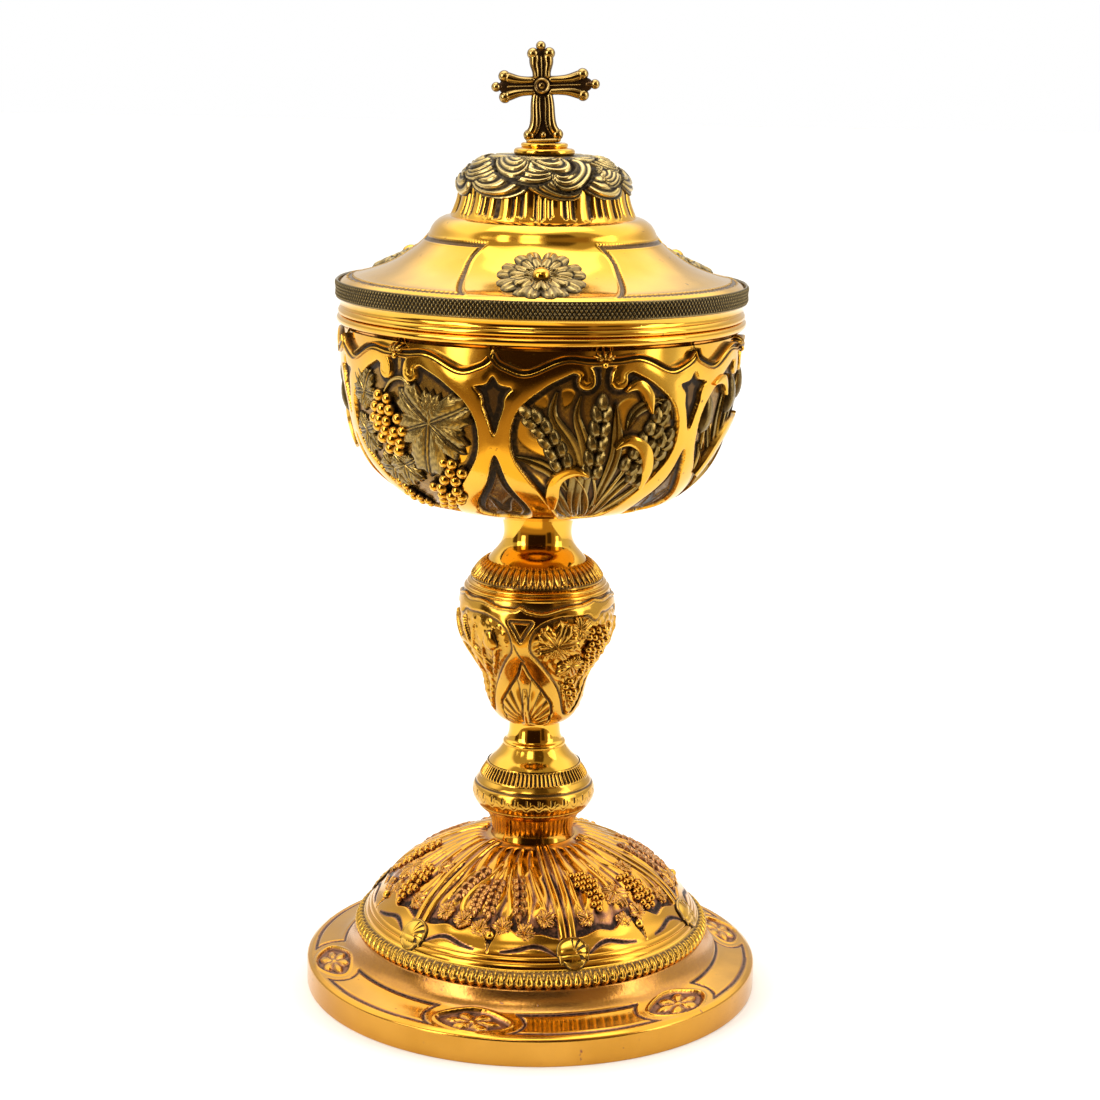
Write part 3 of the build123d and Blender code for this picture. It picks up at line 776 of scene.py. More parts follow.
flange = Turned(np.vstack([
    [(FOOT_R - 0.3, 0.0), (FOOT_R, 0.4), (FOOT_R, 7.4)], arc(FOOT_R - 1.0, 7.5, 1.0, 10, 60, 5),
    spline([(68.6, 8.9), (66.0, 9.15), (63.0, 9.6), (60.0, 10.3), (57.9, 11.2)], 0.5),
    spline([(57.2, 11.7), (56.0, 12.9), (54.9, 14.6), (53.9, FLANGE_TOP)], 0.3),
    [(53.2, FLANGE_TOP), (49.8, FLANGE_TOP)],
]), 0.1, smooth=False)
slope_low, slope_high = flange.s_at_z(8.6), flange.s_at_z(12.6)
flange_rows = np.concatenate([
    [0, 0.15, 0.45, 2.0, 4.0, 6.0, 7.0], np.arange(7.4, slope_low, 0.2),
    np.arange(slope_low, slope_high, 0.3), np.linspace(slope_high, flange.s[-1], 18),
])
rim = Ground(flange, 60.0, 150, flange_rows)
on_flange = flange.by_radius
# a panel with a sunk outline, drawn in at its ends, and an almond reserve between panels
panel_edge = on_flange([(-20.4, 67.5), (-10, 67.7), (0, 67.7), (10, 67.7), (20.4, 67.5), (17.8, 65.4),
                        (16.4, 62.8),
                        (16.8, 60.3), (18.8, 58.0), (10, 58.0), (0, 58.0), (-10, 58.0), (-18.8, 58.0),
                        (-16.8, 60.3), (-16.4, 62.8), (-17.8, 65.4)])
sharp = [0, 4, 8, 12]  # its four corners
corners = sharp + [len(panel_edge)]
panel_line = np.vstack([spline(np.vstack([panel_edge, panel_edge[:1]])[low : high + 1], 0.3)
                        for low, high in zip(corners, corners[1:])])
gap = rim.to_area(panel_line, closed=False)
groove = ease(gap, -1.05, -0.85) * (1 - ease(gap, -0.15, 0.1))
rim.height -= 0.28 * groove
# the sunk outline is dark with tarnish; the cove under the gadroon ring and the low rim wall take painted
# shade, standing in for darker reflections there, with a little tarnish on the rim wall
cove = ease(rim.s, flange.s_at_z(10.7), flange.s_at_z(11.6))
rim.patina = 0.72 * groove + 0.08 * (rim.s < flange.s_at_z(8.2)) + 0.24 * cove
rim.height += 0.10 * ease(-gap, 1.0, 1.4)
almond = on_flange([(30 - 10.4, 62.6), (30 - 5.8, 66.5), (30, 67.8), (30 + 5.8, 66.5), (30 + 10.4, 62.6),
                    (30 + 5.8, 58.9), (30, 57.7), (30 - 5.8, 58.9)])
gap = rim.to_area(almond)
hollow = ease(-gap, -0.1, 0.9)
rim.height += -0.85 * hollow + 0.30 * bell(gap, 0.35, 0.4)
rosette_a, rosette_s = rim.a - 30 * np.sign(rim.a), rim.s - flange.s_at_r(ALMOND_R)
across = rosette_a * np.radians(ALMOND_R)
share = np.hypot(across / 8.4, rosette_s / 4.4)
turn = np.arctan2(rosette_s / 4.4, across / 8.4)
lobe = np.cos(3 * turn) ** 2  # six petals, two of them along the rim
petals = 1 - ease(share, 0.62 + 0.30 * lobe, 0.74 + 0.32 * lobe)
curl = np.sin(np.pi * np.clip(share / (0.72 + 0.3 * lobe), 0, 1)) ** 0.7
bloom = (petals * (0.45 + 0.75 * curl * lobe**0.5 - 0.22 * bell(lobe, 1, 0.02)
                   + 0.10 * np.cos(30 * turn) * (share > 0.35)))
bloom = np.maximum(bloom, 1.15 * arch(share / 0.22))
rim.height += bloom * hollow
rim.patina = np.maximum(rim.patina, hollow * np.clip(0.52 - 0.40 * bloom, 0.16, 1))
# painted shade in the rim's hollows, and lighter crests
rim.shade_cavities(0.8, 1.2)
relief("foot_flange_shell", "vessel", "chased_gilt", coppery, [rim], SCALLOP_AZ, -SHEET + 0.2,
       ["foot_flange"])

# gadroon ring: pointed leaves over a plain fillet
LEAVES = 118
ring_profile = Turned([(53.0, FLANGE_TOP + 0.02), (54.2, 17.5), (54.7, 18.5), (54.5, 19.7), (53.7, 20.9),
                       (52.4, 21.9), (51.1, GADROON_TOP)], 0.1)
ring = Ground(ring_profile, 360 / LEAVES, 10, np.linspace(0, ring_profile.s[-1], 28))
v = ring.s / ring_profile.s[-1]
u = np.abs(ring.a) / (180 / LEAVES)
reach = np.interp(v, [0.04, 0.10, 0.26, 0.42, 0.62, 0.80], [0, 0.5, 0.78, 0.72, 0.40, 0.0])
leaf = arch(u / (reach + 1e-6)) * (reach > 0)
dart = np.clip(1 - np.abs(u - 1) / 0.24, 0, 1) * ease(v, 0.34, 0.5) * (1 - ease(v, 0.72, 0.84))
ring.height = (0.62 * leaf - 0.34 * leaf * (u < 0.12) * (v > 0.3) + 0.35 * dart
               - 0.25 * ease(v, 0.02, 0.08) * (v < 0.84))
ring.patina = (np.clip(0.55 - 1.2 * leaf - 0.7 * dart, 0, 1) * ease(v, 0.02, 0.08)
               * (1 - ease(v, 0.78, 0.86)))
ring.patina = np.clip(ring.patina + 0.5 * leaf * (u < 0.12) * (v > 0.3), 0, 1)
relief("gadroon_leaves", "vessel", "chased_gilt", chased, [ring], 0.0, -1.0, ["gadroon_ring"])

# dome: six panels between pairs of ribs, each pair ending in a scallop
dome = Turned(np.vstack([
    [(51.0, FLANGE_TOP + 0.1), (51.0, 22.3), (50.7, 22.9), (50.1, 23.4)],
    arc(49.35, 23.9, 0.55, -40, 62, 5),
    spline([(49.0, 24.7), (48.3, 26.0), (46.8, 27.6), (44.9, 30.0), (42.4, 33.0), (38.9, 36.0),
            (34.2, 39.0),
            (29.0, 41.6), (23.4, 44.1), (17.2, 46.3), (13.0, DOME_TOP - 0.1)], 0.3),
]), 0.15, smooth=False)
dome_start = dome.s_at_r(49.2)
dome_rows = np.concatenate([np.arange(0, dome_start, 0.45), np.arange(dome_start, dome.s[-1], 0.3),
                            [dome.s[-1]]])
dome_rows = np.delete(dome_rows, -2) if dome_rows[-1] - dome_rows[-2] < 0.1 else dome_rows
on_dome = dome.by_radius
ground = Ground(dome, 60.0, 150, dome_rows)
radius = dome.r_at(ground.s)
# reeded flutes spreading from the collar
flute = np.abs(np.cos(np.pi * (ground.a + 2.2 * np.sin((radius - 13) / 4.5)) / 10.0))
fade = (ease(radius, 14.6, 18.0)
        * (1 - ease(radius, 24.5 + 4.0 * np.cos(np.pi * ground.a / 10.0) ** 2, 29.0)))
ground.height = 0.75 * flute**0.7 * fade
blade = np.abs(np.cos(np.pi * (ground.a + 1.6 * np.sin(radius / 3.1)) / 6.0
                      + 0.6 * np.sin(np.radians(ground.a) * 12)))
spread = ease(radius, 20.0, 25.0) * (1 - ease(radius, 38.0, 45.0))
ground.height = np.maximum(ground.height, 0.62 * blade**0.8 * spread)
# polished border along the rim of the dome, with a bracket-shaped upper edge
bracket = [(-30, 29.3), (-23.5, 29.6), (-17.5, 30.5), (-12, 29.8), (-6.5, 31.8), (-3.4, 31.7), (-1.6, 29.6),
           (0, 26.0)]
bracket = np.array(bracket + [(-a, z) for a, z in bracket[-2::-1]])
edge_line = np.stack([bracket[:, 0], np.interp(bracket[:, 1], dome.rz[:, 1], dome.s)], 1)
edge_line = np.vstack([spline(edge_line[:8], 0.3), spline(edge_line[7:], 0.3)])
edge_s = np.interp(ground.a, edge_line[:, 0], edge_line[:, 1])
slope = np.interp(ground.a, edge_line[1:, 0],
                  np.diff(edge_line[:, 1]) / (np.radians(np.diff(edge_line[:, 0])) * 46 + 1e-6))
over = (ground.s - edge_s) / np.sqrt(1 + np.clip(slope, -3, 3) ** 2)  # distance above the bracket edge
border = 1 - ease(over, -0.35, 0.25)
ground.height = np.where(over < 0.25, 0.85 * border, ground.height)
ground.patina = 1.2 * bell(over, 0.6, 1.1) * (over > 0.0)
under_bracket = [(-24, 25.2), (-16.5, 27.3), (-11.5, 26.6), (-5, 25.8)]
for side in (-1, 1):
    path = np.array(under_bracket) * [side, 1]
    ground.groove(np.stack([path[:, 0], dome.s_at_z(path[:, 1])], 1), [0.3, 0.75, 0.65, 0.3], 0.5, 0.95)
# pairs of ribs from the collar to each scallop
for side, offset in ((-1, 1.4), (-1, -3.4), (1, 1.4), (1, -3.4)):
    lean = 3.6 if offset < 0 else 0.0
    rib = on_dome([(30 * side + offset - lean, 15.0), (30 * side + offset - lean * 0.6, 26),
                   (30 * side + offset, 37), (30 * side + offset * 0.75, 45.4)])
    gap = ground.ridge(rib, [0.75, 0.95, 1.15, 1.2], 1.15, flat=0.45)
    ground.patina = np.maximum(ground.patina, 0.55 * bell(gap, 0.3, 0.3) * (gap > 0))

wheat_ground, vine_ground = ground.copy(), ground.copy()
for path, width in (([(-6, 24), (-9, 29), (-13.5, 34), (-15.5, 38.5), (-12.5, 42.2), (-8.6, 41.2)],
                     [0.5, 0.9, 1.2, 1.2, 0.5]),
                    ([(2, 24), (3.4, 30), (5.2, 35), (6.6, 40.5), (3.6, 43.4)], [0.4, 0.8, 1.3, 1.5, 0.4]),
                    ([(-20, 27), (-22.5, 33), (-23.5, 39)], [0.3, 0.9, 0.3]),
                    ([(14, 25), (17, 31), (20.5, 38), (22.5, 42)], [0.3, 0.9, 1.1, 0.3]),
                    ([(9, 25), (12.4, 31), (14.5, 37), (14.0, 42.5)], [0.3, 0.8, 1.1, 0.3]),
                    ([(-2, 24), (-3.5, 28), (-5.4, 33)], [0.4, 0.8, 0.3])):
    wheat_ground.ridge(on_dome(path), width, 0.95, flat=0.1)
for path, width in (([(-3, 24), (-2, 29), (0, 34), (1.5, 37)], [0.5, 0.6, 0.7, 0.7]),
                    ([(10, 24), (12, 29), (14.5, 34)], [0.6, 0.8, 0.3]),
                    ([(-22, 26), (-23, 32), (-23.5, 38), (-21.6, 43)], [0.4, 0.9, 0.9, 0.3]),
                    ([(20, 28), (22.5, 34), (22.5, 40), (19.6, 44)], [0.4, 0.9, 1.0, 0.3])):
    vine_ground.ridge(on_dome(path), width, 0.9, flat=0.1)

dome_dark = []
for index in range(SCALLOPS):
    az = SCALLOP_AZ + 30.0 + 60.0 * index
    number = index // 2 + 1
    if index % 2:
        straw = Piece()
        spots = [ear(straw, dome, on_dome(path) + [az, 0], 4.0, 2.4, 1.7) for path in (
            [(-2.2, 30.5), (-2.6, 35), (-2.4, 41.5)], [(-13.5, 27), (-17.0, 32), (-19.0, 38.5)],
            [(7.5, 28.5), (9.6, 34), (10.2, 41.5)], [(-8.5, 33.5), (-9.4, 37), (-8.6, 41.0)])]
        for spot, heading in (((-12, 43.4), -30), ((-4.5, 44.6), 10), ((4.5, 43.8), -15),
                              ((12.8, 44.6), 35), ((20.5, 41.8), 60),
                              ((-20.5, 42.4), -70)):
            spots.append(vine_leaf(straw, dome, on_dome([spot])[0] + [az, 0], heading, 3.9, 1.15,
                                   shade=0.5))
        straw.build(f"dome_wheat_{number}", "vessel", "copper_gilt", coppery)
    else:
        fruit, leaves = Piece(), Piece()
        spots = [bunch(fruit, dome, on_dome(outline) + [az, 0], 1.12, 0.6, shade=0.6) for outline in (
            [(-20.5, 27.5), (-13, 27.5), (-9.5, 32), (-10.5, 37), (-14.5, 42.5), (-18.5, 38), (-20.5, 33)],
            [(5, 33.5), (12.5, 33), (17, 36.5), (16.5, 40.5), (12, 44.8), (7, 42), (4.5, 38)])]
        for spot, heading, size in (((-3.0, 37.0), 172, 5.8), ((18.0, 31.6), 40, 3.8),
                                    ((-6.2, 44.2), 20, 3.4),
                                    ((3.0, 43.4), -20, 3.8), ((21.5, 42.6), 50, 3.8),
                                    ((-21.5, 42.2), -60, 3.6)):
            spots.append(vine_leaf(leaves, dome, on_dome([spot])[0] + [az, 0], heading, size, 1.1,
                                   shade=0.5))
        fruit.build(f"dome_grapes_{number}", "vessel", "copper_gilt", coppery)
        leaves.build(f"dome_vine_leaves_{number}", "vessel", "copper_gilt", coppery)
    dome_dark.append(np.concatenate(spots))

tiles = []
for index in range(SCALLOPS):
    tile = (wheat_ground if index % 2 else vine_ground).copy()
    az = SCALLOP_AZ + 30.0 + 60.0 * index
    # the low ground between the motifs is tarnished copper, with painted shade that deepens near the motifs
    # and in hollows, and the ribs and border are polished
    low = (1 - ease(tile.height, 0.22, 0.42)) * (over > 0.3) * ease(radius, 13.5, 15)
    shade = near(
        dome.at(tile.a + az, tile.s).reshape(-1, 3), dome_dark[index][::2], 2.2
    ).reshape(tile.a.shape)
    tile.patina = np.clip(tile.patina + low * (0.34 + 0.55 * shade), 0, 1)
    tile.shade_cavities(0.9, 0.8)
    tiles.append(tile)
relief("foot_dome_shell", "vessel", "copper_gilt", coppery, tiles, SCALLOP_AZ + 30.0, -SHEET, ["foot_dome"],
       split=True)

# scallop shells and ball bosses on the border
trim = Piece()
for index in range(SCALLOPS):
    az = SCALLOP_AZ + 60.0 * index
    centre = np.array([az, dome.s_at_z(25.6)])
    patch(trim, dome, centre, 0.0,
          lambda t: 4.9 + 0 * t,
          lambda rho, t: 1.15 + 0.75 * (1 - rho**2)
          - 0.28 * (np.cos(11 * t) > 0.1) * ease(rho, 0.12, 0.3) * (rho < 0.86)
          * (np.abs(t) < 2.4) + 0.3 * bell(rho, 0.92, 0.06),
          lambda rho, t: np.clip(0.75 * (np.cos(11 * t) > 0.1) * ease(rho, 0.12, 0.3) * (rho < 0.86)
                                 * (np.abs(t) < 2.4)
                                 + 0.9 * (rho > 0.985) + 0.4 * bell(rho, 0.84, 0.04), 0, 1),
          rings=14, around=132)
    boss = [az + 30.0, dome.s_at_z(29.4)]
    balls(trim, dome, [boss], 1.45, 0.55)
    for lean in (-2, -1, 0, 1, 2):
        spot = [az + 30.0 + lean * 1.25, dome.s_at_z(26.9) - 0.28 * abs(lean)]
        grains(trim, dome, [spot], 2.7, 1.1, 0.8, 180 + lean * 24, patina=(0.9, 0.45))
trim.build("dome_scallops", "vessel", "chased_gilt", chased)

# --- stem -----------------------------------------------------------------------------
COLLAR_TOP = heights("base_collar")[1]
TORUS_TOP = heights("lower_knop")[1]
RIBS_TOP = heights("ribbed_ring")[1]
KNOP_LOW, KNOP_TOP = heights("knop")
SHOULDER_TOP = heights("knop_shoulder")[1]

torus = Turned([(14.8, COLLAR_TOP), (16.9, 56.8), (18.3, 58.9), (18.9, 61.2), (18.5, 63.4), (17.4, 65.3),
                (16.7, TORUS_TOP)], 0.1)
DASHES = 30
band = Ground(torus, 360 / DASHES, 24, np.linspace(0, torus.s[-1], 54))
z = torus.z_at(band.s)
across = np.radians(band.a) * 18.8
swag = 60.6 - 0.9 * np.cos(np.radians(band.a) * DASHES)
band.height -= 0.10 * bell(z, swag, 0.22)
band.patina += 0.14 * bell(z, swag, 0.25)
for middle, half in ((0.0, 0.22), (1.15, 0.10)):
    dash = (np.abs(across - middle) < half) & (z > 61.2) & (z < 63.0 - 0.5 * abs(middle))
    band.height -= 0.20 * dash
    band.patina += (0.55 - 0.3 * (middle > 0)) * dash
for level, half, dark in ((64.3, 0.30, 0.7), (57.6, 0.14, 0.3)):
    line = bell(z, level, half)
    band.height -= 0.35 * line
    band.patina += dark * line
band.patina = np.clip(band.patina, 0, 1)
relief("lower_knop_shell", "vessel", "chased_gilt", stem_gilt, [band], 6.0, -STEM_WALL, ["lower_knop"])

RIBS = 74
cone = Turned([(16.75, TORUS_TOP), (16.5, 66.8), (15.7, 68.2), (14.8, 69.6), (14.35, RIBS_TOP)], 0.1)
ribs = Ground(cone, 360 / RIBS, 8, np.linspace(0, cone.s[-1], 22))
v = ribs.s / cone.s[-1]
inset = ease(v, 0.08, 0.16) * (1 - ease(v, 0.86, 0.94))
rib = arch(ribs.a / (0.62 * 180 / RIBS))
ribs.height = -0.55 * inset * (1 - rib)
ribs.patina = 0.95 * inset * np.clip(1 - rib * 1.5, 0, 1)
relief("ribbed_ring_shell", "vessel", "chased_gilt", stem_gilt, [ribs], 0.0, -STEM_WALL, ["ribbed_ring"])

shoulder = Turned([(19.9, KNOP_TOP), (19.7, 129.3), (19.0, 130.6), (17.8, 132.2), (16.4, 133.5),
                   (15.2, SHOULDER_TOP)], 0.1)
lathe("middle_collar_shell", "vessel", "middle_collar", np.vstack([
    spline([(14.0, RIBS_TOP + 0.02), (13.2, 71.5), (11.8, 72.9), (10.7, 74.3), (9.75, 75.7)], 0.3),
    spline([(9.45, 76.1), (9.65, 76.6), (9.45, 77.2), (8.85, 77.6)], 0.2),
    spline([(8.5, 78.0), (8.05, 79.4), (7.85, 81.2), (7.9, 83.0), (8.2, KNOP_LOW - 0.02)], 0.3),
    [(6.9, KNOP_LOW - 0.02), (6.9, 80.0), (8.0, 76.0), (12.4, RIBS_TOP + 0.02)],
]), 200)

TIPS = 54
tips = Ground(shoulder, 360 / TIPS, 12, np.linspace(0, shoulder.s[-1], 30))
v = tips.s / shoulder.s[-1]
u = np.abs(tips.a) / (180 / TIPS)
reach = np.interp(v, [0.10, 0.18, 0.42, 0.70, 0.86, 0.98], [0.0, 0.45, 0.82, 0.86, 0.55, 0.5])
tip = arch(u / (reach + 1e-6)) * (reach > 0)
bead = np.sqrt(np.clip(1 - ((1 - u) * 1.16 / 0.40) ** 2 - ((v - 0.16) * shoulder.s[-1] / 0.50) ** 2, 0, 1))
tips.height = 0.55 * tip - 0.25 * (u < 0.14) * (v > 0.25) * tip + 0.5 * bead
tips.patina = (np.clip(0.55 - 1.3 * tip - 1.2 * bead, 0, 1) * ease(v, 0.02, 0.08)
               + 0.25 * (u < 0.14) * (v > 0.25) * tip)
tips.patina = np.clip(tips.patina, 0, 1) * (1 - ease(v, 0.86, 0.98))
relief("knop_shoulder_leaves", "vessel", "chased_gilt", stem_gilt, [tips], 0.0, -STEM_WALL,
       ["knop_shoulder"])

# knop: three strapwork cartouches over three palmettes
KNOP_AZ = -11.0
knob = Turned(np.vstack([
    spline([(8.2, KNOP_LOW), (10.6, 85.8), (12.2, 87.6), (13.3, 89.8), (14.0, 91.8), (14.5, 93.8),
            (15.2, 97.3),
            (16.7, 101.0), (18.0, 103.2), (20.4, 107.0), (22.4, 110.8), (23.4, 114.3), (23.6, 117.5),
            (23.0, 121.5),
            (22.2, 124.6)], 0.3),
    arc(21.45, 125.9, 0.75, -45, 70, 6), [(21.1, 126.75)], arc(20.6, 127.4, 0.62, -50, 70, 6),
    [(19.9, KNOP_TOP)],
]), 0.1, smooth=False)
ground = Ground(knob, 120.0, 170, np.concatenate([
    np.arange(0, knob.s_at_z(124.6), 0.3), np.arange(knob.s_at_z(124.6), knob.s[-1], 0.22)]))
on_knop = knob.by_height
z = knob.z_at(ground.s)
border = on_knop([(-60, 125.1), (-50.5, 124.3), (-32, 124.5), (-18, 123.2), (-9, 123.1), (-3, 123.4),
                  (0, 124.0),
                  (3, 123.3), (7, 122.8), (15.5, 122.3), (25.5, 123.1), (32.5, 123.7), (48.5, 124.1),
                  (60, 125.1)])
cartouche = on_knop([(60, 119.2), (55, 120.6), (47, 121.0), (32, 121.2), (22.5, 120.5), (12.5, 118.4),
                     (7.2, 115.0),
                     (6.2, 111.4), (10.5, 108.2), (18, 104.8), (28, 100.6), (39, 95.4), (45, 91.0),
                     (52, 88.4),
                     (60, 87.8), (68, 88.4), (75, 91.0), (81, 95.4), (92, 100.6), (102, 104.8),
                     (109.5, 108.2),
                     (113.8, 111.4), (112.8, 115.0), (107.5, 118.4), (97.5, 120.5), (88, 121.2),
                     (73, 121.0),
                     (65, 120.6)])
palmette = on_knop([(0, 107.2), (5.5, 103.4), (13.5, 99.6), (27, 94.4), (34, 90.0), (33, 86.6), (0, 85.4),
                    (-33, 86.6), (-34, 90.0), (-27, 94.4), (-13.5, 99.6), (-5.5, 103.4)])
window = on_knop([(-9.4, 119.4), (0, 120.2), (9.4, 119.4), (5, 116.6), (0, 113.6), (-5, 116.6)])
field_gap = ground.to_area(cartouche)
palm_gap = ground.to_area(palmette)
window_gap = ground.to_area(window)
border_line = spline(border, 0.3)
below = (np.interp(ground.a, border_line[:, 0], border_line[:, 1]) - ground.s)
depth = np.minimum(np.minimum(field_gap, palm_gap), np.minimum(window_gap, below))
strap = ease(depth, -0.25, 0.25)
ground.height = 0.75 * strap + 0.12 * (1 - np.exp(-np.clip(depth, 0, 9))) * strap
ground.height = np.where(below < 0, 0.05 + 0.7 * ease(below, -0.3, 0.0), ground.height)
# painted shade, with some tarnish, in a narrow band just inside the edges of the straps
ground.patina = 0.42 * ease(-depth, 0.0, 0.25) * (1 - ease(-depth, 0.35, 0.9)) * (z < 126)
ground.ridge(border, 0.4, 1.15)
ground.groove(border + [0, 0.62], 0.2, 0.2, 0.42)
ground.groove(border + [0, -0.62], 0.2, 0.2, 0.25)
# the strap that goes under at the crossing
ground.groove(on_knop([(-4.8, 112.8), (-1.6, 109.6), (2.4, 107.4)]), 0.18, 0.25, 0.7)
# palmette: a rib with flutes fanning from its foot
fan_x = np.radians(ground.a) * 14.5
fan_y = ground.s - knob.s_at_z(86.8)
fan = np.degrees(np.arctan2(fan_x * 1.25, fan_y + 2.5))
spread = np.hypot(fan_x, fan_y + 1.0)
leafy = ease(-palm_gap, 0.45, 0.9)
flutes = np.abs(np.cos(np.pi * fan / 15.0)) ** 0.6
ground.height += leafy * (0.30 + 0.55 * flutes * ease(spread, 1.5, 5.0))
ground.patina = np.clip(ground.patina + leafy * (0.6 - 1.4 * flutes) * ease(spread, 2, 5), 0, 1)
stalk = ground.ridge(on_knop([(0, 86.5), (0, 92), (0, 97.0)]), [0.9, 0.7, 0.3], 1.45)
ground.patina = np.clip(ground.patina + 0.5 * bell(stalk, 0.25, 0.2) * (stalk > -0.1), 0, 1)
# window: a small raised wedge inside
wedge = ease(-window_gap, 0.8, 1.1)
ground.height += 0.45 * wedge
ground.patina = ground.patina * (1 - wedge)
# stems and blades inside the cartouche
for path, width in (([(60, 88.6), (50, 92), (44, 97), (40, 103), (38, 107)], [0.9, 0.7, 0.6, 0.4]),
                    ([(60, 89), (70, 94), (76, 100), (82, 106), (88, 112)], [0.9, 1.0, 1.3, 0.3]),
                    ([(58, 90), (60, 97), (66, 104), (74, 110), (80, 117)], [0.6, 1.0, 1.2, 0.3]),
                    ([(62, 90), (52, 95), (50, 101)], [0.5, 0.8, 0.3]),
                    ([(86, 101), (94, 106), (100, 112), (98, 117)], [0.3, 0.9, 1.0, 0.3])):
    ground.ridge(on_knop(path), width, 0.95, flat=0.05, dark=0.05)
swirl = (np.cos(np.hypot(np.radians(ground.a - 38) * 20, (ground.s - knob.s_at_z(106)) * 0.8) * 1.9)
         * np.cos(ground.s * 1.3 + np.radians(ground.a) * 9))
ground.height += 0.22 * swirl * ease(-field_gap, 0.8, 1.6)
bud_ground = ground.copy()
bud_ground.xyz = ground.xyz
for path, width in (([(36, 104.5), (48, 108.5), (62, 111), (76, 109), (90, 104)],
                     [0.5, 1.0, 1.2, 1.1, 0.4]),
                    ([(46, 118.6), (52, 113), (57, 106), (60, 98)], [0.4, 0.9, 0.8, 0.6]),
                    ([(66, 118.5), (71, 112), (76, 104), (76, 98)], [0.4, 1.0, 1.0, 0.4])):
    bud_ground.ridge(on_knop(path), width, 1.1, flat=0.05, dark=0.05)
# painted shade in the knop's hollows, and lighter crests
ground.shade_cavities(0.8, 0.7)
bud_ground.shade_cavities(0.8, 0.7)
fruit, leaves = Piece(), Piece()
for index in range(3):
    az = KNOP_AZ + 120.0 * index
    if index < 2:
        for outline in ([(54, 117.5), (66, 117.5), (76, 112), (72, 106), (60, 101.5), (54, 106), (50, 111)],
                        [(42, 100.5), (54, 100), (64, 95.5), (62, 91.2), (52, 92), (44, 96)]):
            bunch(fruit, knob, on_knop(outline) + [az, 0], 1.12, 0.5, shade=0.35)
        for spot, heading, size in (((27, 112.4), 20, 8.2), ((43, 105.6), 150, 5.6),
                                    ((44, 117.0), 60, 4.6)):
            vine_leaf(leaves, knob, on_knop([spot])[0] + [az, 0], heading, size, 1.3, shade=0.28)
    if index < 2:
        continue
    # a bud with two sepals
    bud = on_knop([(96, 112.5)])[0] + [az, 0]
    patch(leaves, knob, bud, 0.0, lambda t: 2.5 + 1.5 * np.clip(np.cos(t), 0, 1) ** 4,
          lambda rho, t: 0.6 + 1.1 * arch(rho),
          lambda rho, t: np.clip(0.9 * (rho > 0.93) + 0.3 * (np.abs(np.sin(t)) < 0.1), 0, 1), rings=10,
          around=60)
fruit.build("knop_grapes", "vessel", "chased_gilt", stem_gilt)
leaves.build("knop_leaves", "vessel", "chased_gilt", stem_gilt)
# tiles run from crossing to crossing, so each cartouche is shared by the two tiles beside it
half = ground.a < 0
knop_tiles = []
for index in range(3):
    tile = ground.copy()
    for field in ("height", "patina"):
        mixed = getattr(ground, field).copy()
        if index == 2:
            mixed[:, ~half[0]] = getattr(bud_ground, field)[:, ~half[0]]
        if index == 0:
            mixed[:, half[0]] = getattr(bud_ground, field)[:, half[0]]
        setattr(tile, field, mixed)
    knop_tiles.append(tile)
relief("knop_shell", "vessel", "chased_gilt", stem_gilt, knop_tiles, KNOP_AZ, -STEM_WALL, ["knop"],
       split=True)

# --- cup and openwork cup ---------------------------------------------------------------
CUP_LOW, CUP_HIGH = heights("cup")
bowl = Turned([
    (12.0, CUP_LOW), (20.6, 151.2), (25.6, 152.5), (32.8, 154.3), (40.4, 156.6),
    (45.7, 160.3), (50.4, 165.6), (53.9, 172.3), (56.3, 181.4), (57.5, 188.6),
    (58.1, 195.0), (58.4, 202.0), (58.4, CUP_HIGH),
])
cup_inner = bowl.rz - SHEET * bowl.normal
lathe("cup_shell", "vessel", "cup", np.vstack([
    [(0, CUP_LOW)], bowl.rz[::4], [bowl.rz[-1]], [(cup_inner[-1][0], CUP_HIGH)],
    cup_inner[::-4], [(0, CUP_LOW + SHEET)],
]), 360)

PERIOD = 60.0
WHEAT_AZ = 17.5  # middle of the first cartouche
STRAP_H, FIELD_H = 1.42, 0.15
s_low, s_high = bowl.s_at_z(150.9), bowl.s_at_z(205.3)
s_fine = bowl.s_at_z(154.0)
bowl_rows = np.concatenate([np.linspace(s_low, s_fine, 40)[:-1],
                            np.linspace(s_fine, s_high, int((s_high - s_fine) / 0.3))])
ground = Ground(bowl, PERIOD, 192, bowl_rows)
on_bowl = bowl.by_height
# openings of the strapwork, from the middle of a cartouche
cartouche = on_bowl(mirrored([
    (0, 200.6), (5.0, 200.2), (9.0, 198.6), (13.5, 196.4), (17.8, 193.4), (22.2, 189.4), (24.7, 184.6),
    (25.3, 180),
    (24.5, 175), (21.6, 170.2), (18, 165.9), (14.2, 161.4), (10.2, 157.3), (6.2, 154.6), (0, 153.6),
]))
upper_gap = on_bowl([(24.9, 194.4), (27.0, 194.9), (28.8, 196.0), (30, 197.6), (31.2, 196.0), (33.0, 194.9),
                     (35.1, 194.4), (33.5, 192.4), (32.9, 189.6), (31.6, 185.4), (30.0, 181.2),
                     (28.4, 185.4),
                     (27.1, 189.6), (26.5, 192.4)])
lower_gap = on_bowl([(30, 175.2), (32.3, 169.5), (35.4, 164.2), (39.2, 159.8), (40.0, 156.6), (35.5, 155.0),
                     (30, 155.6), (24.5, 155.0), (20.0, 156.6), (20.8, 159.8), (24.6, 164.2),
                     (27.7, 169.5)])
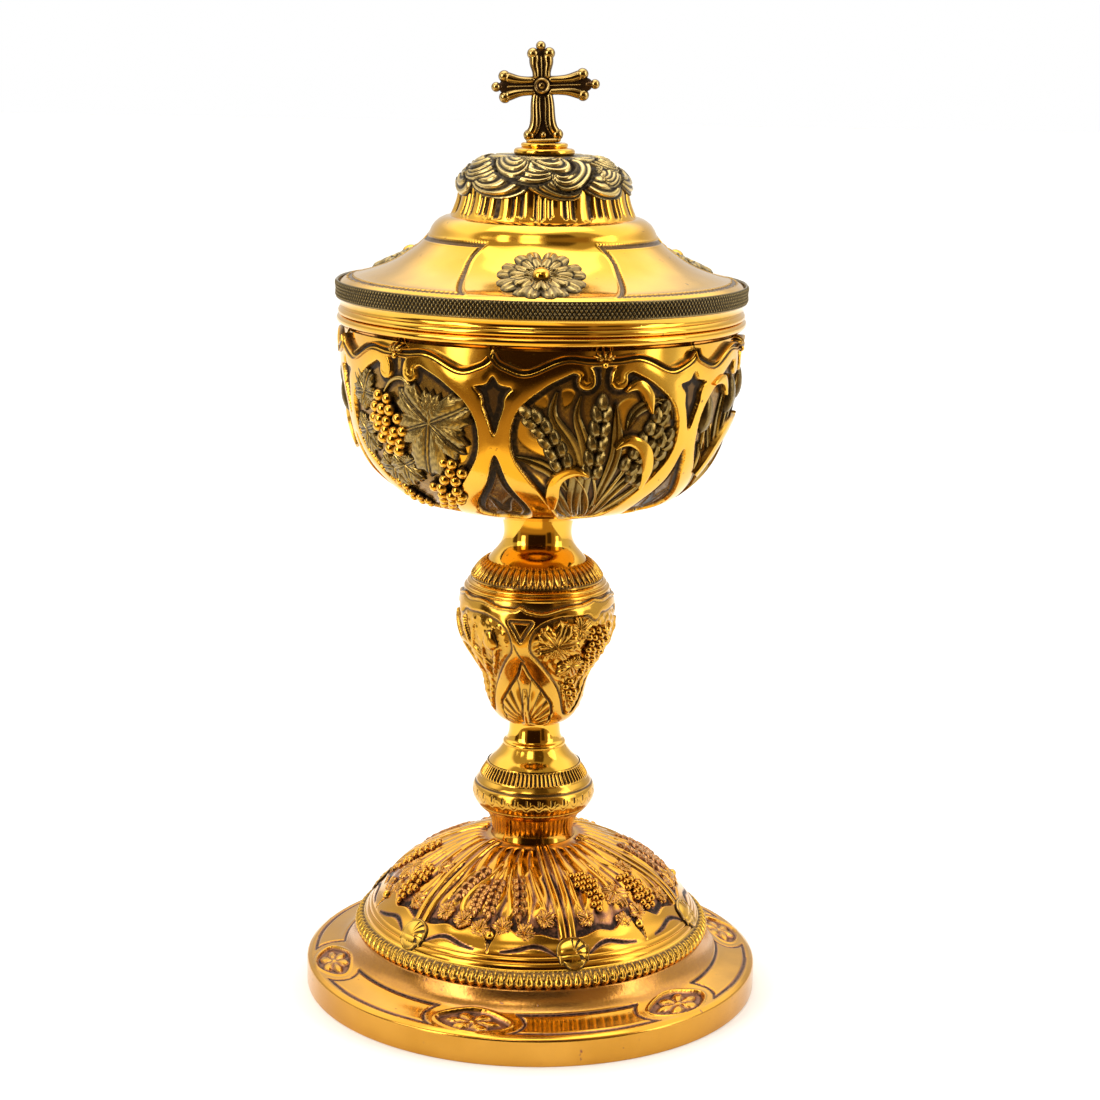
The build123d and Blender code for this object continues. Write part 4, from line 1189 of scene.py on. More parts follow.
border = on_bowl([(-30, 203.8), (-28.9, 201.7), (-26, 200.0), (-21.8, 198.7), (-15.5, 200.9), (-9.5, 202.8),
                  (-5, 202.3), (0, 202.2), (5, 202.3), (9.5, 202.8), (15.5, 200.9), (21.8, 198.7),
                  (26, 200.0),
                  (28.9, 201.7), (30, 203.8)])
border_line = spline(border, 0.3)
upper_depth, lower_depth = ground.to_area(upper_gap), ground.to_area(lower_gap)
depth = np.minimum(np.minimum(ground.to_area(cartouche), upper_depth), lower_depth)
border_slope = np.interp(ground.a, border_line[1:, 0],
                         np.diff(border_line[:, 1]) / (np.diff(border_line[:, 0]) + 1e-9))
below = ((np.interp(ground.a, border_line[:, 0], border_line[:, 1]) - ground.s)
         / np.sqrt(1 + border_slope**2))
depth = np.minimum(depth, below)
# the straps curl in at the top of each cartouche and end in round tips
curl = np.array([(13.5, 198.2), (9.6, 200.5), (6.4, 200.3), (4.7, 198.6), (4.6, 196.6)])
for side in (-1, 1):
    depth = np.maximum(depth, -ground.to_line(on_bowl(curl * [side, 1]), [1.3, 1.6, 1.9, 2.1, 2.5]))
strap = ease(depth, -0.42, 0.30)
above = ease(-below, 0.0, 0.7)
ground.height = (FIELD_H + (STRAP_H - FIELD_H - 0.1) * strap
                 + 0.16 * (1 - np.exp(-np.clip(depth, 0, 9) / 1.1)) * strap)
ground.height = ground.height * (1 - above) + 0.06 * above
for side in (-1, 1):
    curl_line = np.array([(7.4, 199.4), (6.0, 198.4), (5.9, 196.9), (4.7, 195.9), (3.6, 196.8),
                          (4.2, 197.9)])
    ground.groove(on_bowl(curl_line * [side, 1]), [0.10, 0.22, 0.22, 0.16, 0.10], 0.16, 0.5)
ground.groove(on_bowl([(0, 201.4), (0.1, 199.8), (0, 197.6)]), [0.4, 0.8, 0.5], 0.6, 1.0)
# painted shade, with some tarnish, in a band inside each opening along the edges of the straps
rim_band = ease(-depth, -0.05, 0.35) * (1 - ease(-depth, 1.4, 2.2))
lower_field = ease(-lower_depth, 1.8, 2.2)
ground.height += 0.45 * ease(-lower_depth, 1.75, 2.05) * (1 - ease(-lower_depth, 2.15, 2.5))
ground.patina = (np.clip(0.97 * rim_band + 0.56 * ease(-upper_depth, 0.2, 0.6)
                         + 0.5 * ease(-lower_depth, 0.2, 0.6), 0, 1) * (1 - strap) * (1 - above))
chevron = ground.to_line(on_bowl([(25.0, 162.6), (27.6, 160.6), (30, 157.6), (32.4, 160.6), (35.0, 162.6)]),
                         [0.2, 0.8, 1.4, 0.8, 0.2])
ground.patina = np.maximum(ground.patina, 0.95 * ease(-chevron, -0.3, 0.2) * lower_field)
ground.height += 0.35 * bell(chevron, 0.35, 0.22) * lower_field
below_all = (1 - strap) * (1 - above)
in_field = ease(-ground.to_area(cartouche), 0.2, 0.5) * below_all


def polished_windows(outlines):
    """Where the smooth cup shows through between the motifs: 1 inside these (azimuth, z) outlines."""
    share = np.zeros(ground.a.shape)
    for outline in outlines:
        share = np.maximum(share, ease(-ground.to_area(on_bowl(outline)), -0.1, 0.5))
    return share


wheat_windows = polished_windows([
    [(-24, 186), (-20.6, 184.6), (-17.0, 179), (-14.5, 174.6), (-18, 175.6), (-22.4, 178.6), (-24.2, 182)],
    [(-22, 170.6), (-18, 169.6), (-14.6, 166), (-13.4, 161.8), (-16.6, 164), (-20, 167.6)],
    [(-19.6, 191.4), (-15.6, 192.6), (-15, 189), (-18, 188.8)],
    [(-11.6, 193.8), (-8.0, 194), (-8.6, 190), (-10.8, 189)],
    [(4.4, 182.6), (6.4, 191), (11.4, 190.4), (11.6, 186.4), (7.6, 182)],
    [(6.8, 176.2), (9.4, 176.6), (10.4, 173.2), (8.4, 171.0)],
])
vine_windows = polished_windows([[(15.4, 174.6), (19.8, 179.6), (22.6, 179), (22.0, 174.6), (19.0, 171.6)]])
reed_windows = polished_windows([
    [(-8.6, 186), (-4.4, 193), (-3.0, 189), (-4.4, 181.6)],
    [(12, 190), (17.4, 190.6), (17.8, 183), (14.4, 182.6)],
    [(-19, 177), (-15.4, 181), (-12.6, 176.4), (-17, 172.4)],
    [(4, 174), (7.6, 178), (8.6, 170), (5.6, 166)],
])


def curve(piece, centre_az, points, width, section=STRAP, height=1.6, **options):
    """A strip on the bowl through (azimuth from the cartouche's middle, z) points."""
    path = on_bowl(points) + [centre_az, 0]
    return sweep(piece, bowl, path, width, section, height, **options)


def wheat_panel(number, az):
    """Four ears on stems, with blades and bright curling leaves. Returns what darkens the ground."""
    straw, leaves, bright = Piece(), Piece(), Piece()
    dark = []
    for path in ([(-10, 172.0), (-12.8, 177.6), (-17.2, 184), (-21.2, 188.0)],
                 [(-1.6, 168.8), (-1.0, 176), (-0.2, 184.4), (0.0, 190.6)],
                 [(9.5, 170.5), (13.2, 176), (17.0, 182.5), (19.8, 188.2)],
                 [(13.0, 167.0), (16.2, 171.5), (20, 176.2), (22.6, 180.0)]):
        dark.append(ear(straw, bowl, on_bowl(path) + [az, 0], 5.9, 3.7, 2.6))
    stems = [
        [(2.4, 154.8), (-0.5, 162), (-5, 168), (-10, 172.4)],
        [(3.2, 154.8), (2.4, 162), (0.4, 167), (-1.2, 171)],
        [(4.2, 154.8), (4.8, 161), (6.8, 166), (9.5, 171)],
        [(5.2, 154.8), (7.2, 160.6), (10, 164.6), (13, 168)],
        [(6.2, 154.9), (10.2, 160), (14.2, 163.8), (17.5, 167.5), (20.5, 172)],
    ]
    for path in stems:
        dark.append(curve(leaves, az, path, 0.6, ROUND, 1.0))
    blades = [
        ([(0.6, 154.6), (-5.2, 162), (-5.6, 171), (-9.6, 180.6), (-13.6, 187), (-12.6, 193.6)],
         [0.5, 1.5, 2.3, 2.4, 1.9, 0.4]),
        ([(1.4, 156), (-2.8, 165), (-3.2, 174), (-5.4, 182), (-7.0, 187), (-6.0, 192.6)],
         [0.4, 1.2, 1.8, 1.9, 1.4, 0.3]),
        ([(2.4, 158), (4.0, 168), (5.4, 175), (5.0, 183), (3.8, 190)], [0.5, 1.3, 1.9, 1.7, 0.3]),
        ([(4.6, 156), (7.6, 163), (12, 168), (17, 171), (22.5, 176)], [0.4, 1.2, 1.7, 1.6, 0.3]),
        ([(-24.0, 174.8), (-19, 173.4), (-13, 170.3), (-8, 165)], [0.4, 1.8, 1.7, 0.5]),
        ([(9, 157.6), (15, 161.4), (20, 167), (23.4, 173)], [0.6, 1.7, 1.7, 0.3]),
        ([(-2.2, 155), (-7.4, 158), (-11, 163), (-12.6, 168)], [0.8, 2.0, 1.9, 0.6]),
        ([(8.0, 182.4), (10.4, 187.6), (14.4, 189.6), (18.6, 191.2)], [0.3, 1.5, 1.7, 0.3]),
        ([(16, 190.6), (20.2, 189.2), (23.0, 184.6)], [0.4, 1.4, 0.4]),
    ]
    for path, width in blades:
        dark.append(curve(leaves, az, path, width, LEAF, 1.3))
    curls = [
        ([(-12.4, 160.4), (-12.8, 165), (-11.4, 169.6), (-7.8, 171.4), (-2.6, 170.2)],
         [1.0, 2.1, 1.9, 1.8, 0.3], 2.5),
        ([(4.4, 177.8), (8.6, 179.6), (12.9, 177.8), (15.9, 172.4), (16.2, 165.6)],
         [0.3, 1.7, 2.2, 1.9, 0.5], 2.6),
        ([(6.2, 193.6), (10.2, 195.2), (13.2, 192.4), (14.8, 187.2)], [0.3, 1.7, 1.8, 0.3], 2.2),
    ]
    # the bright curls are painted darker down their sides and lightest along their crests
    for path, width, up in curls:
        dark.append(curve(bright, az, path, width, STRAP, up, patina=0.6 * (1 - np.array(STRAP)[:, 1])))
    straw.build(f"bowl_wheat_ears_{number}", "vessel", "chased_gilt", leafage)
    leaves.build(f"bowl_wheat_blades_{number}", "vessel", "chased_gilt", leafage)
    bright.build(f"bowl_wheat_curls_{number}", "vessel", "chased_gilt", chased)
    return np.concatenate(dark), wheat_windows


def grape_panel(number, az):
    """Three bunches and five vine leaves."""
    fruit, leaves = Piece(), Piece()
    bunches = [
        ([(-9.5, 189.8), (-1.6, 190.6), (0.8, 184), (0.8, 179.0), (-1.8, 172.6), (-5.2, 172.6),
          (-9.8, 176.0),
          (-13.6, 181.6), (-13.0, 186)], 1.85, 0.6),
        ([(13.6, 172.6), (18.6, 172.4), (20.2, 167), (16.2, 160.8), (9.2, 156.6), (3.6, 158.2),
          (6.0, 163.4),
          (10.4, 167.6)], 1.72, 0.6),
        ([(-16, 165.4), (-10, 163.4), (-4.4, 159.0), (-4, 156.4), (-8, 157), (-13, 160.6)], 1.35, 0.5),
    ]
    dark = [bunch(fruit, bowl, on_bowl(outline) + [az, 0], radius, lift, 1.9)
            for outline, radius, lift in bunches]
    vine = [
        ((10.4, 183.0), 190, 17.0, 2.0, (1, 0.74, 0.76, 0.80, 0.84)),
        ((-2.6, 169.4), 190, 7.6, 1.5, FIVE_LOBES),
        ((-16.4, 189.0), -30, 8.4, 1.5, FIVE_LOBES), ((-19.4, 177.4), 196, 8.0, 1.3, FIVE_LOBES),
        ((-9.4, 167.6), 205, 8.0, 1.4, FIVE_LOBES),
    ]
    for spot, heading, size, lift, lobes in vine:
        spot = on_bowl([spot])[0] + [az, 0]
        dark.append(vine_leaf(leaves, bowl, spot, heading, size, lift, lobes))
    dark.append(curve(leaves, az, [(-6, 190.4), (-3, 193.6), (2, 194.6), (6, 191)], [0.5, 0.8, 0.8, 0.4],
                      ROUND, 1.2))
    fruit.build(f"bowl_grapes_{number}", "vessel", "chased_gilt", chased)
    leaves.build(f"bowl_vine_leaves_{number}", "vessel", "chased_gilt", leafage)
    return np.concatenate(dark), vine_windows


def reed_panel(number, az):
    """Reeds with four heads, and bright curling leaves."""
    leaves, bright = Piece(), Piece()
    dark = []
    for path, width in (
        ([(2, 154.8), (-4, 163), (-9, 172), (-12.6, 184), (-10.4, 195)], [0.6, 1.6, 2.1, 1.8, 0.3]),
        ([(3, 154.8), (0, 164), (-1, 174), (1.2, 186), (4.2, 193)], [0.6, 1.5, 2.0, 1.8, 0.3]),
        ([(4, 154.8), (7, 163), (11, 172), (15, 182), (15.6, 191)], [0.6, 1.6, 2.1, 1.8, 0.3]),
        ([(5, 155), (11, 161), (17.4, 168), (22, 177)], [0.6, 1.7, 1.9, 0.3]),
        ([(-1, 155), (-9, 161), (-16, 168), (-22, 176)], [0.6, 1.7, 1.9, 0.3]),
        ([(1, 157), (-5, 166), (-13, 173), (-19, 181)], [0.5, 1.3, 1.6, 0.3]),
    ):
        dark.append(curve(leaves, az, path, width, LEAF, 1.35))
    for path in ([(-17.6, 166), (-20.4, 176), (-20.8, 186)], [(-6, 160), (-7.6, 172), (-6.2, 184)],
                 [(9, 160), (8.6, 172), (9.4, 186)], [(19.4, 168), (20.4, 176), (19.6, 184)]):
        dark.append(curve(leaves, az, path, 0.6, ROUND, 1.0))
    heads = [((-21.6, 184.6), 4), ((-6.0, 188.4), 6), ((9.8, 190.2), -4), ((19.2, 185.0), -8)]
    dark.append(grains(leaves, bowl, [on_bowl([spot])[0] + [az, 0] for spot, _ in heads], 12.5, 5.4, 2.6,
                       [lean for _, lean in heads], patina=(0.8, 0.3)))
    # the bright curls below are painted darker down their sides and lightest along their crests
    for path, width in (([(-17.4, 166.4), (-12, 173.0), (-4, 178.6), (4.6, 181)], [1.7, 2.2, 1.9, 0.4]),
                        ([(20.4, 170), (15.4, 176.6), (8, 181.4)], [1.5, 2.0, 0.4]),
                        ([(-21, 193.2), (-15.2, 193.8), (-12.6, 189.4)], [0.4, 1.7, 0.4])):
        dark.append(curve(bright, az, path, width, STRAP, 2.3, patina=0.6 * (1 - np.array(STRAP)[:, 1])))
    leaves.build(f"bowl_reeds_{number}", "vessel", "chased_gilt", leafage)
    bright.build(f"bowl_reed_curls_{number}", "vessel", "chased_gilt", chased)
    return np.concatenate(dark), reed_windows


panels = []
for index, make in enumerate((wheat_panel, reed_panel, grape_panel) * 2):
    az = WHEAT_AZ + PERIOD * index
    spots, clear = make(index // 3 + 1, az)
    panel = ground.copy()
    # painted shade near the motifs: it deepens the field's tarnish, and darkens the polished windows close
    # to them
    shade = near(bowl.at(ground.a + az, ground.s).reshape(-1, 3), spots[::3], 1.3).reshape(ground.a.shape)
    tarnish_and_shade = in_field * np.clip(0.40 + 0.6 * shade, 0, 1) * (1 - clear)
    panel.patina = np.clip(np.maximum(panel.patina, tarnish_and_shade) + 0.55 * shade * in_field * clear, 0, 1)
    panel.height -= 0.12 * in_field * clear
    panels.append(panel)
relief("false_cup_shell", "vessel", "chased_gilt", chased, panels, WHEAT_AZ, 0.02, ["false_cup"],
       split=True)

border_trim, palmettes = Piece(), Piece()
for index in range(6):
    az = WHEAT_AZ + PERIOD * index
    for part in (border_line[: len(border_line) // 2 + 1], border_line[len(border_line) // 2 :]):
        sweep(border_trim, bowl, part[::8] + [az, 0], 1.2, TROUGH, 2.1, patina=np.array(TROUGH_SHADE),
              step=0.45)
    fan = [(-2.9, -62), (-1.9, -34), (0, 0), (1.9, 34), (2.9, 62)]
    grains(palmettes, bowl, [on_bowl([(0.62 * x, 202.5 + 0.9 * np.cos(np.radians(lean)))])[0] + [az, 0]
                             for x, lean in fan],
           3.3, 1.5, 2.5, [lean for _, lean in fan], patina=(0.9, 0.2))
    balls(palmettes, bowl, on_bowl([(0, 201.1)]) + [az, 0], 0.9, 1.9)
border_trim.build("bowl_border", "vessel", "chased_gilt", chased)
palmettes.build("bowl_palmettes", "vessel", "chased_gilt", chased)

# --- lip, lid rim and lid ---------------------------------------------------------------
lathe("cup_lip", "vessel", "cup_lip_ring",
      np.vstack([spline([(58.42, 204.7), (58.8, 205.2), (59.8, 205.9), (60.6, 206.7), (60.78, 207.4),
                         (60.5, 208.1),
(59.9, 208.5)], 0.25), [(58.42, CUP_HIGH)]]), 480)

RING_LOW, RING_HIGH = heights("lid_base_ring")
KNURL_LOW, KNURL_HIGH = heights("lid_knurled_rim")
KNURL_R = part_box("lid_knurled_rim")[1].x / MM
BEZEL_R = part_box("lid_bezel")[1].x / MM
lathe("lid_base_mouldings", "lid", "lid_base_ring", np.vstack([
    [(BEZEL_R, RING_LOW + 0.05), (59.5, RING_LOW + 0.05)],
    spline([(60.1, RING_LOW + 0.2), (60.4, 209.3), (60.3, 210.0), (59.9, 210.6)], 0.2), [(59.7, 210.8)],
    spline([(59.85, 211.0), (59.6, 211.6), (59.7, 212.3), (60.3, RING_HIGH - 0.15)], 0.2),
    [(60.2, RING_HIGH), (BEZEL_R, RING_HIGH)],
]), 480)

# milled band: crossed diagonal cuts
TEETH = 288
milled_profile = Turned([(KNURL_R - 0.30, KNURL_LOW + 0.05), (KNURL_R - 0.06, KNURL_LOW + 0.5),
                         (KNURL_R - 0.02, 216.1), (KNURL_R - 0.06, KNURL_HIGH - 0.4),
                         (KNURL_R - 0.5, KNURL_HIGH)], 0.1)
mill = Ground(milled_profile, 360 / TEETH, 6, np.linspace(0, milled_profile.s[-1], 26))
v = mill.s / milled_profile.s[-1]
turns = mill.a / mill.period
lean = v * 3.0
cut = np.minimum(np.abs((turns + lean) % 1 - 0.5), np.abs((turns - lean) % 1 - 0.5)) * 2
inset = ease(np.minimum(v, 1 - v), 0.03, 0.10)
mill.height = -0.5 * (1 - np.clip(cut * 1.5, 0, 1)) * inset
mill.patina = np.clip(1.25 - cut * 1.9, 0, 1) * inset
relief("lid_milled_rim", "lid", "milled_gilt", milled, [mill], 0.0, -1.1, ["lid_knurled_rim"])

SHELL_SEAT = heights("lid_skirt")[0]
CROWN_SEAT, LID_TOP = heights("lid_crown")
skirt = Turned([
    (59.9, SHELL_SEAT + 0.05), (57.9, 219.2), (55.0, 219.9), (51.5, 220.9), (48.1, 222.1), (44.8, 223.5),
    (42.1, 225.0), (39.1, 227.1), (35.9, 229.6), (33.8, 232.2), (32.7, 234.4), (30.9, 236.3),
    (28.4, CROWN_SEAT), (25.9, CROWN_SEAT + 0.05),
])
LID_PANELS = 3
plates = Ground(skirt, 360 / LID_PANELS, 280, np.arange(0, skirt.s[-1], 0.36))
on_skirt = skirt.by_radius

side_line = [(21, 57.5), (23.6, 54.0), (26, 49.6), (29, 42.7), (30.2, 37.8), (27, 34.1)]
right = spline(on_skirt(side_line), 0.3)
left = spline(on_skirt([(120 - a, r) for a, r in side_line[::-1]]), 0.3)
across_top = on_skirt([(a, 34.1) for a in np.linspace(27, 93, 40)[1:-1]])
across_low = on_skirt([(a, 57.5) for a in np.linspace(99, 21, 50)[1:-1]])
plate = np.vstack([right, across_top, left, across_low])
gap = plates.to_area(plate, closed=False)
band = ease(gap, -1.65, -1.4) * (1 - ease(gap, -0.3, 0.0))
plates.height = -0.34 * band + 0.16 * bell(gap, 0.15, 0.3) + 0.12 * bell(gap, -1.8, 0.3)
hatch = 0.5 + 0.5 * np.cos(2 * np.pi * (plates.s * 1.1 + np.radians(plates.a) * skirt.r_at(plates.s) * 1.1))
plates.patina = band * (0.38 + 0.42 * hatch)
relief("lid_skirt_shell", "lid", "chased_gilt", chased, [plates], 0.0, -LID_SHEET, ["lid_skirt"],
       split=True)

PETALS, ROSETTE_R, ROSETTE_AT_R = 8, 12.9, 46.2


def petal_share(theta, shift=0.0):
    """Position across a petal, -0.5 to 0.5."""
    return (theta * PETALS / (2 * np.pi) + shift) % 1 - 0.5


def rosette_outline(theta):
    """Reach in mm of eight rounded petals with a dent in each tip."""
    p = petal_share(theta)
    return ROSETTE_R * (1 - 0.07 * bell(p, 0, 0.07) - 0.26 * (2 * np.abs(p)) ** 6)


def rosette_height(rho, theta):
    """Outer petals, a second row between them, and the stamens in the middle."""
    outer, inner = petal_share(theta), petal_share(theta, 0.5)
    dish = 0.55 + 0.45 * np.cos(2 * np.pi * outer) - 0.35 * bell(outer, 0, 0.05)
    h = (0.5 + 1.5 * np.sin(np.pi * np.clip(rho, 0, 1) ** 1.5) ** 0.8 * dish
         + 0.12 * np.cos(2 * np.pi * 6 * outer) * (rho > 0.55))
    inner_edge = 0.70 - 0.16 * (2 * np.abs(inner)) ** 4
    second = 1 - ease(rho, inner_edge - 0.03, inner_edge)
    dish = 0.6 + 0.4 * np.cos(2 * np.pi * inner) - 0.3 * bell(inner, 0, 0.06)
    h2 = (1.35 + 0.9 * np.sin(np.pi * np.clip(rho / 0.72, 0, 1) ** 1.3) * dish
          + 0.10 * np.cos(2 * np.pi * 5 * inner) * (rho > 0.3))
    stamens = 1 - ease(rho, 0.36, 0.40)
    h3 = 1.3 + 0.18 * np.cos(32 * theta) * ease(rho, 0.2, 0.26) + 0.5 * rho
    h = h * (1 - second) + h2 * second
    return (h * (1 - stamens) + h3 * stamens) * (1 - 0.65 * ease(rho, 0.93, 1.0))


def rosette_patina(rho, theta):
    """Dark between the petals and in their veins."""
    outer, inner = petal_share(theta), petal_share(theta, 0.5)
    inner_edge = 0.70 - 0.16 * (2 * np.abs(inner)) ** 4
    shade = (0.16 + 0.7 * (2 * np.abs(outer)) ** 6 - 0.22 * np.cos(2 * np.pi * 6 * outer)
             + 0.4 * bell(outer, 0, 0.04))
    inside_shade = (0.10 + 0.7 * (2 * np.abs(inner)) ** 6 - 0.2 * np.cos(2 * np.pi * 5 * inner)
                    + 0.4 * bell(inner, 0, 0.05))
    shade = np.where(rho < inner_edge, inside_shade, shade)
    shade = np.where(rho < 0.38, 0.45 - 0.4 * np.cos(32 * theta), shade)
    shade += 0.8 * bell(rho - inner_edge, 0.02, 0.025) + 0.5 * ease(rho, 0.95, 1.0)
    return np.clip(shade, 0, 1)


rosettes, boss = Piece(), Piece()
for index in range(LID_PANELS):
    centre = on_skirt([(120.0 * index, ROSETTE_AT_R)])[0]
    patch(rosettes, skirt, centre, 0.0, rosette_outline, rosette_height, rosette_patina, rings=40,
          around=324)
    balls(boss, skirt, [centre], 2.5, 0.72, 0.8, rings=14, around=28, shade=0.5)
rosettes.build("lid_rosettes", "lid", "matted_gilt", matted)
boss.build("lid_rosette_bosses", "lid", "bright_gilt", polished)

# crown: a fluted drum under two tiers of curling cloud
crown = Turned([(27.5, CROWN_SEAT + 0.05), (26.5, 240.0), (25.7, 242.4), (25.3, 244.8), (25.0, 247.0),
                (23.9, 249.0),
                (22.1, 250.8), (19.7, 252.6), (16.5, 254.2), (12.7, 255.0), (8.4, LID_TOP)])
BARS = 50
drum = Ground(crown, 360.0, 500, np.linspace(0, crown.s_at_z(247.0), 34))
z = crown.z_at(drum.s)
bars = drum.a * BARS / 360 + 0.30 * np.sin(np.radians(drum.a) * 7) + 0.16 * np.sin(np.radians(drum.a) * 19)
offset = np.abs(bars % 1 - 0.5) * 2
width = 0.70 + 0.17 * np.sin(np.floor(bars) * 2.4)
bar = arch(offset / width)
fluted = ease(z, 238.0 + 0.5 * np.sin(np.floor(bars) * 1.7), 239.2 + 0.5 * np.sin(np.floor(bars) * 1.7))
drum.height = -0.6 * fluted * (1 - bar)
drum.patina = np.clip(0.9 - 2.6 * bar, 0, 1) * fluted
relief("lid_drum", "lid", "bright_gilt", chased, [drum], 0.0, -LID_SHEET, ["lid_crown"])

cap_low = crown.s_at_z(243.6)
cap = Ground(crown, 360.0, 470, np.linspace(cap_low, crown.s[-1], 86))
r = crown.r_at(cap.s)
cap.height[:] = -0.4
cap.patina[:] = 0.9
CLOUDS = [  # count in each tier, height of its middle, half length and half width of a cloud, lean
    (9, 248.4, 10.6, 5.0, -12), (9, 251.4, 9.0, 4.8, 10), (8, 253.6, 7.8, 4.4, -14),
    (6, 254.8, 6.0, 4.2, 12),
]
for tier, (count, level, long, short, tilt) in enumerate(CLOUDS):
    for k in range(count):
        a0 = -34.0 + (k + 0.5 * (tier % 2)) * 360 / count + RNG.normal(0, 3.0)
        s0 = crown.s_at_z(level) + RNG.normal(0, 0.4)
        turn = np.radians(tilt + RNG.normal(0, 14))
        x = np.radians((cap.a - a0 + 180) % 360 - 180) * np.maximum(r, 10)
        y = cap.s - s0
        px = (x * np.cos(turn) + y * np.sin(turn)) / (long * RNG.uniform(0.82, 1.18))
        py = (-x * np.sin(turn) + y * np.cos(turn)) / (short * RNG.uniform(0.84, 1.12))
        # nested ridges sag below one crowded upper end
        focus = np.array([(-0.72, 0.62, -0.35)[(k + tier) % 3], (0.42, 0.50, 0.70)[(k + tier) % 3]])
        dx, dy = px - focus[0], py - focus[1]
        along = dx * focus[0] + dy * focus[1]
        spare = 1 - focus @ focus
        t = (along + np.sqrt(along**2 + spare * (dx**2 + dy**2))) / spare
        within = t < 1.0
        ridges = np.cos(2 * np.pi * (t * RNG.uniform(3.8, 5.0) - 0.35))
        swell = (0.35 + 0.75 * (1 - t**4)
                 + 0.26 * np.sign(ridges) * np.abs(ridges) ** 0.7 * ease(t, 0.03, 0.12))
        cap.height = np.where(within, swell * (1 - 0.4 * ease(t, 0.94, 1.0)), cap.height)
        folds = np.clip(0.12 + 0.80 * ease(-ridges, 0.1, 0.9) + 0.6 * ease(t, 0.96, 1.0), 0, 1)
        cap.patina = np.where(within, folds, cap.patina)
        cap.patina = np.where(~within & (t < 1.10), np.maximum(cap.patina, 0.95), cap.patina)
cap.height = np.where((cap.height < 0) & (cap.s > crown.s_at_z(247.0)), 0.3, cap.height)
cap.height = cap.height * ease(r, 10.0, 19.0)
# painted shade in the hollows between and within the clouds, and lighter crests
cap.shade_cavities(0.9, 0.3)
relief("lid_crown_clouds", "lid", "matted_gilt", crown_gilt, [cap], 0.0, -LID_SHEET, ["lid_crown"])

seat_low, seat_high = heights("finial_seat")
lathe("lid_finial_rings", "lid", "finial_seat", np.vstack([
    [(0, seat_low)],
    spline([(8.5, seat_low), (8.95, 255.8), (9.0, 256.4), (8.7, 257.0), (8.0, 257.3)], 0.15), [(7.0, 257.4)],
    spline([(6.7, 257.5), (6.95, 258.0), (6.8, 258.6), (6.1, seat_high)], 0.15), [(0, seat_high)],
]), 120)

# --- cross ------------------------------------------------------------------------------
CROSS_LOW, CROSS_TOP = heights("finial_seat")[1], heights("cross")[1]
CROSS_MID = 275.2
CROSS_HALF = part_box("cross")[1].x / MM - 0.1
CROSS_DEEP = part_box("cross")[1].y / MM


def tube(piece, points, radii, deep, shade=(0.85, 0.05)):
    """A bar through (x, z) points in the middle plane. radii run along it, deep is half its thickness."""
    line = spline(points)
    count, around = len(line), 16
    along = np.linspace(0, 1, count)
    taper = (1 - np.minimum(along, 1 - along) * count / 4).clip(0, 1)
    ends = np.sqrt(np.clip(1 - taper**2, 0.01, 1))
    ahead = unit(np.gradient(line, axis=0))
    side = np.stack([ahead[:, 1], -ahead[:, 0]], 1)
    turn = np.radians(np.arange(around) * 360 / around)
    reach = (evenly(radii, count) * ends)[:, None]
    x, z = (line[:, k : k + 1] + side[:, k : k + 1] * reach * np.cos(turn) for k in (0, 1))
    y = (evenly(deep, count) * ends)[:, None] * np.sin(turn)
    dark = shade[0] + (shade[1] - shade[0]) * ease(np.abs(np.sin(turn)), 0.25, 0.95)
    tips = [[line[k][0], 0, line[k][1]] for k in (0, -1)]
    piece.add(np.concatenate([np.stack([x, y, z], -1).reshape(-1, 3), tips]),
              np.append(np.tile(dark, count), [0.5, 0.5]),
              grid_faces(count, around, False, True), pole_fans(count, around))


def ball(piece, x, z, radius, deep, shade=(0.6, 0.05)):
    """A rounded knob on the cross, deep mm from the middle plane to its front."""
    points, quads, caps = sphere(11, 24)
    front = np.abs(points[:, 1])
    dark = shade[0] + (shade[1] - shade[0]) * ease(front, 0.2, 0.7)
    dark[-1] = shade[1]
    piece.add([x, 0, z] + points * [radius, deep, radius], dark, quads, caps)


cross = Piece()


def arm(ahead, reach, waist, lobe_at, lobe_out):
    """One arm along the unit vector ahead: a dark plate, two edges rolled out at the tip, and a ball."""
    ahead = np.array(ahead, float)
    side = np.array([ahead[1], -ahead[0]])

    def place(*points):
        return [tuple(np.array([0, CROSS_MID]) + u * ahead + v * side) for u, v in points]

    tube(cross, place((0, 0), (lobe_at * 0.5, 0), (lobe_at, 0), (reach - 2.0, 0)),
         [waist - 0.6, waist - 0.6, lobe_out - 1.2, 1.2], 1.0, shade=(0.95, 0.85))
    for s in (-1, 1):
        edge = place((1.6, s * (waist - 1.1)), (lobe_at * 0.45, s * (waist - 1.2)),
                     (lobe_at - 3.0, s * (waist - 0.8)), (lobe_at - 1.2, s * (lobe_out - 2.1)),
                     (lobe_at - 0.4, s * (lobe_out - 1.7)))
        tube(cross, edge, [1.05, 1.1, 1.25, 1.55, 1.6], [1.6, 1.7, 1.8, 1.9], shade=(0.8, 0.0))
        ball(cross, *place((lobe_at - 0.3, s * (lobe_out - 1.75)))[0], 1.75, 1.95)
    tube(cross, place((1.6, 0), (lobe_at * 0.6, 0), (lobe_at - 0.6, 0)), [0.36, 0.45, 0.55],
         [1.3, 1.4, 1.4], shade=(0.9, 0.1))
    tube(cross, place((lobe_at, 0), (reach - 1.3, 0)), [1.1, 0.9], 1.3, shade=(0.9, 0.5))
    ball(cross, *place((reach - 1.45, 0))[0], 1.45, 1.7)


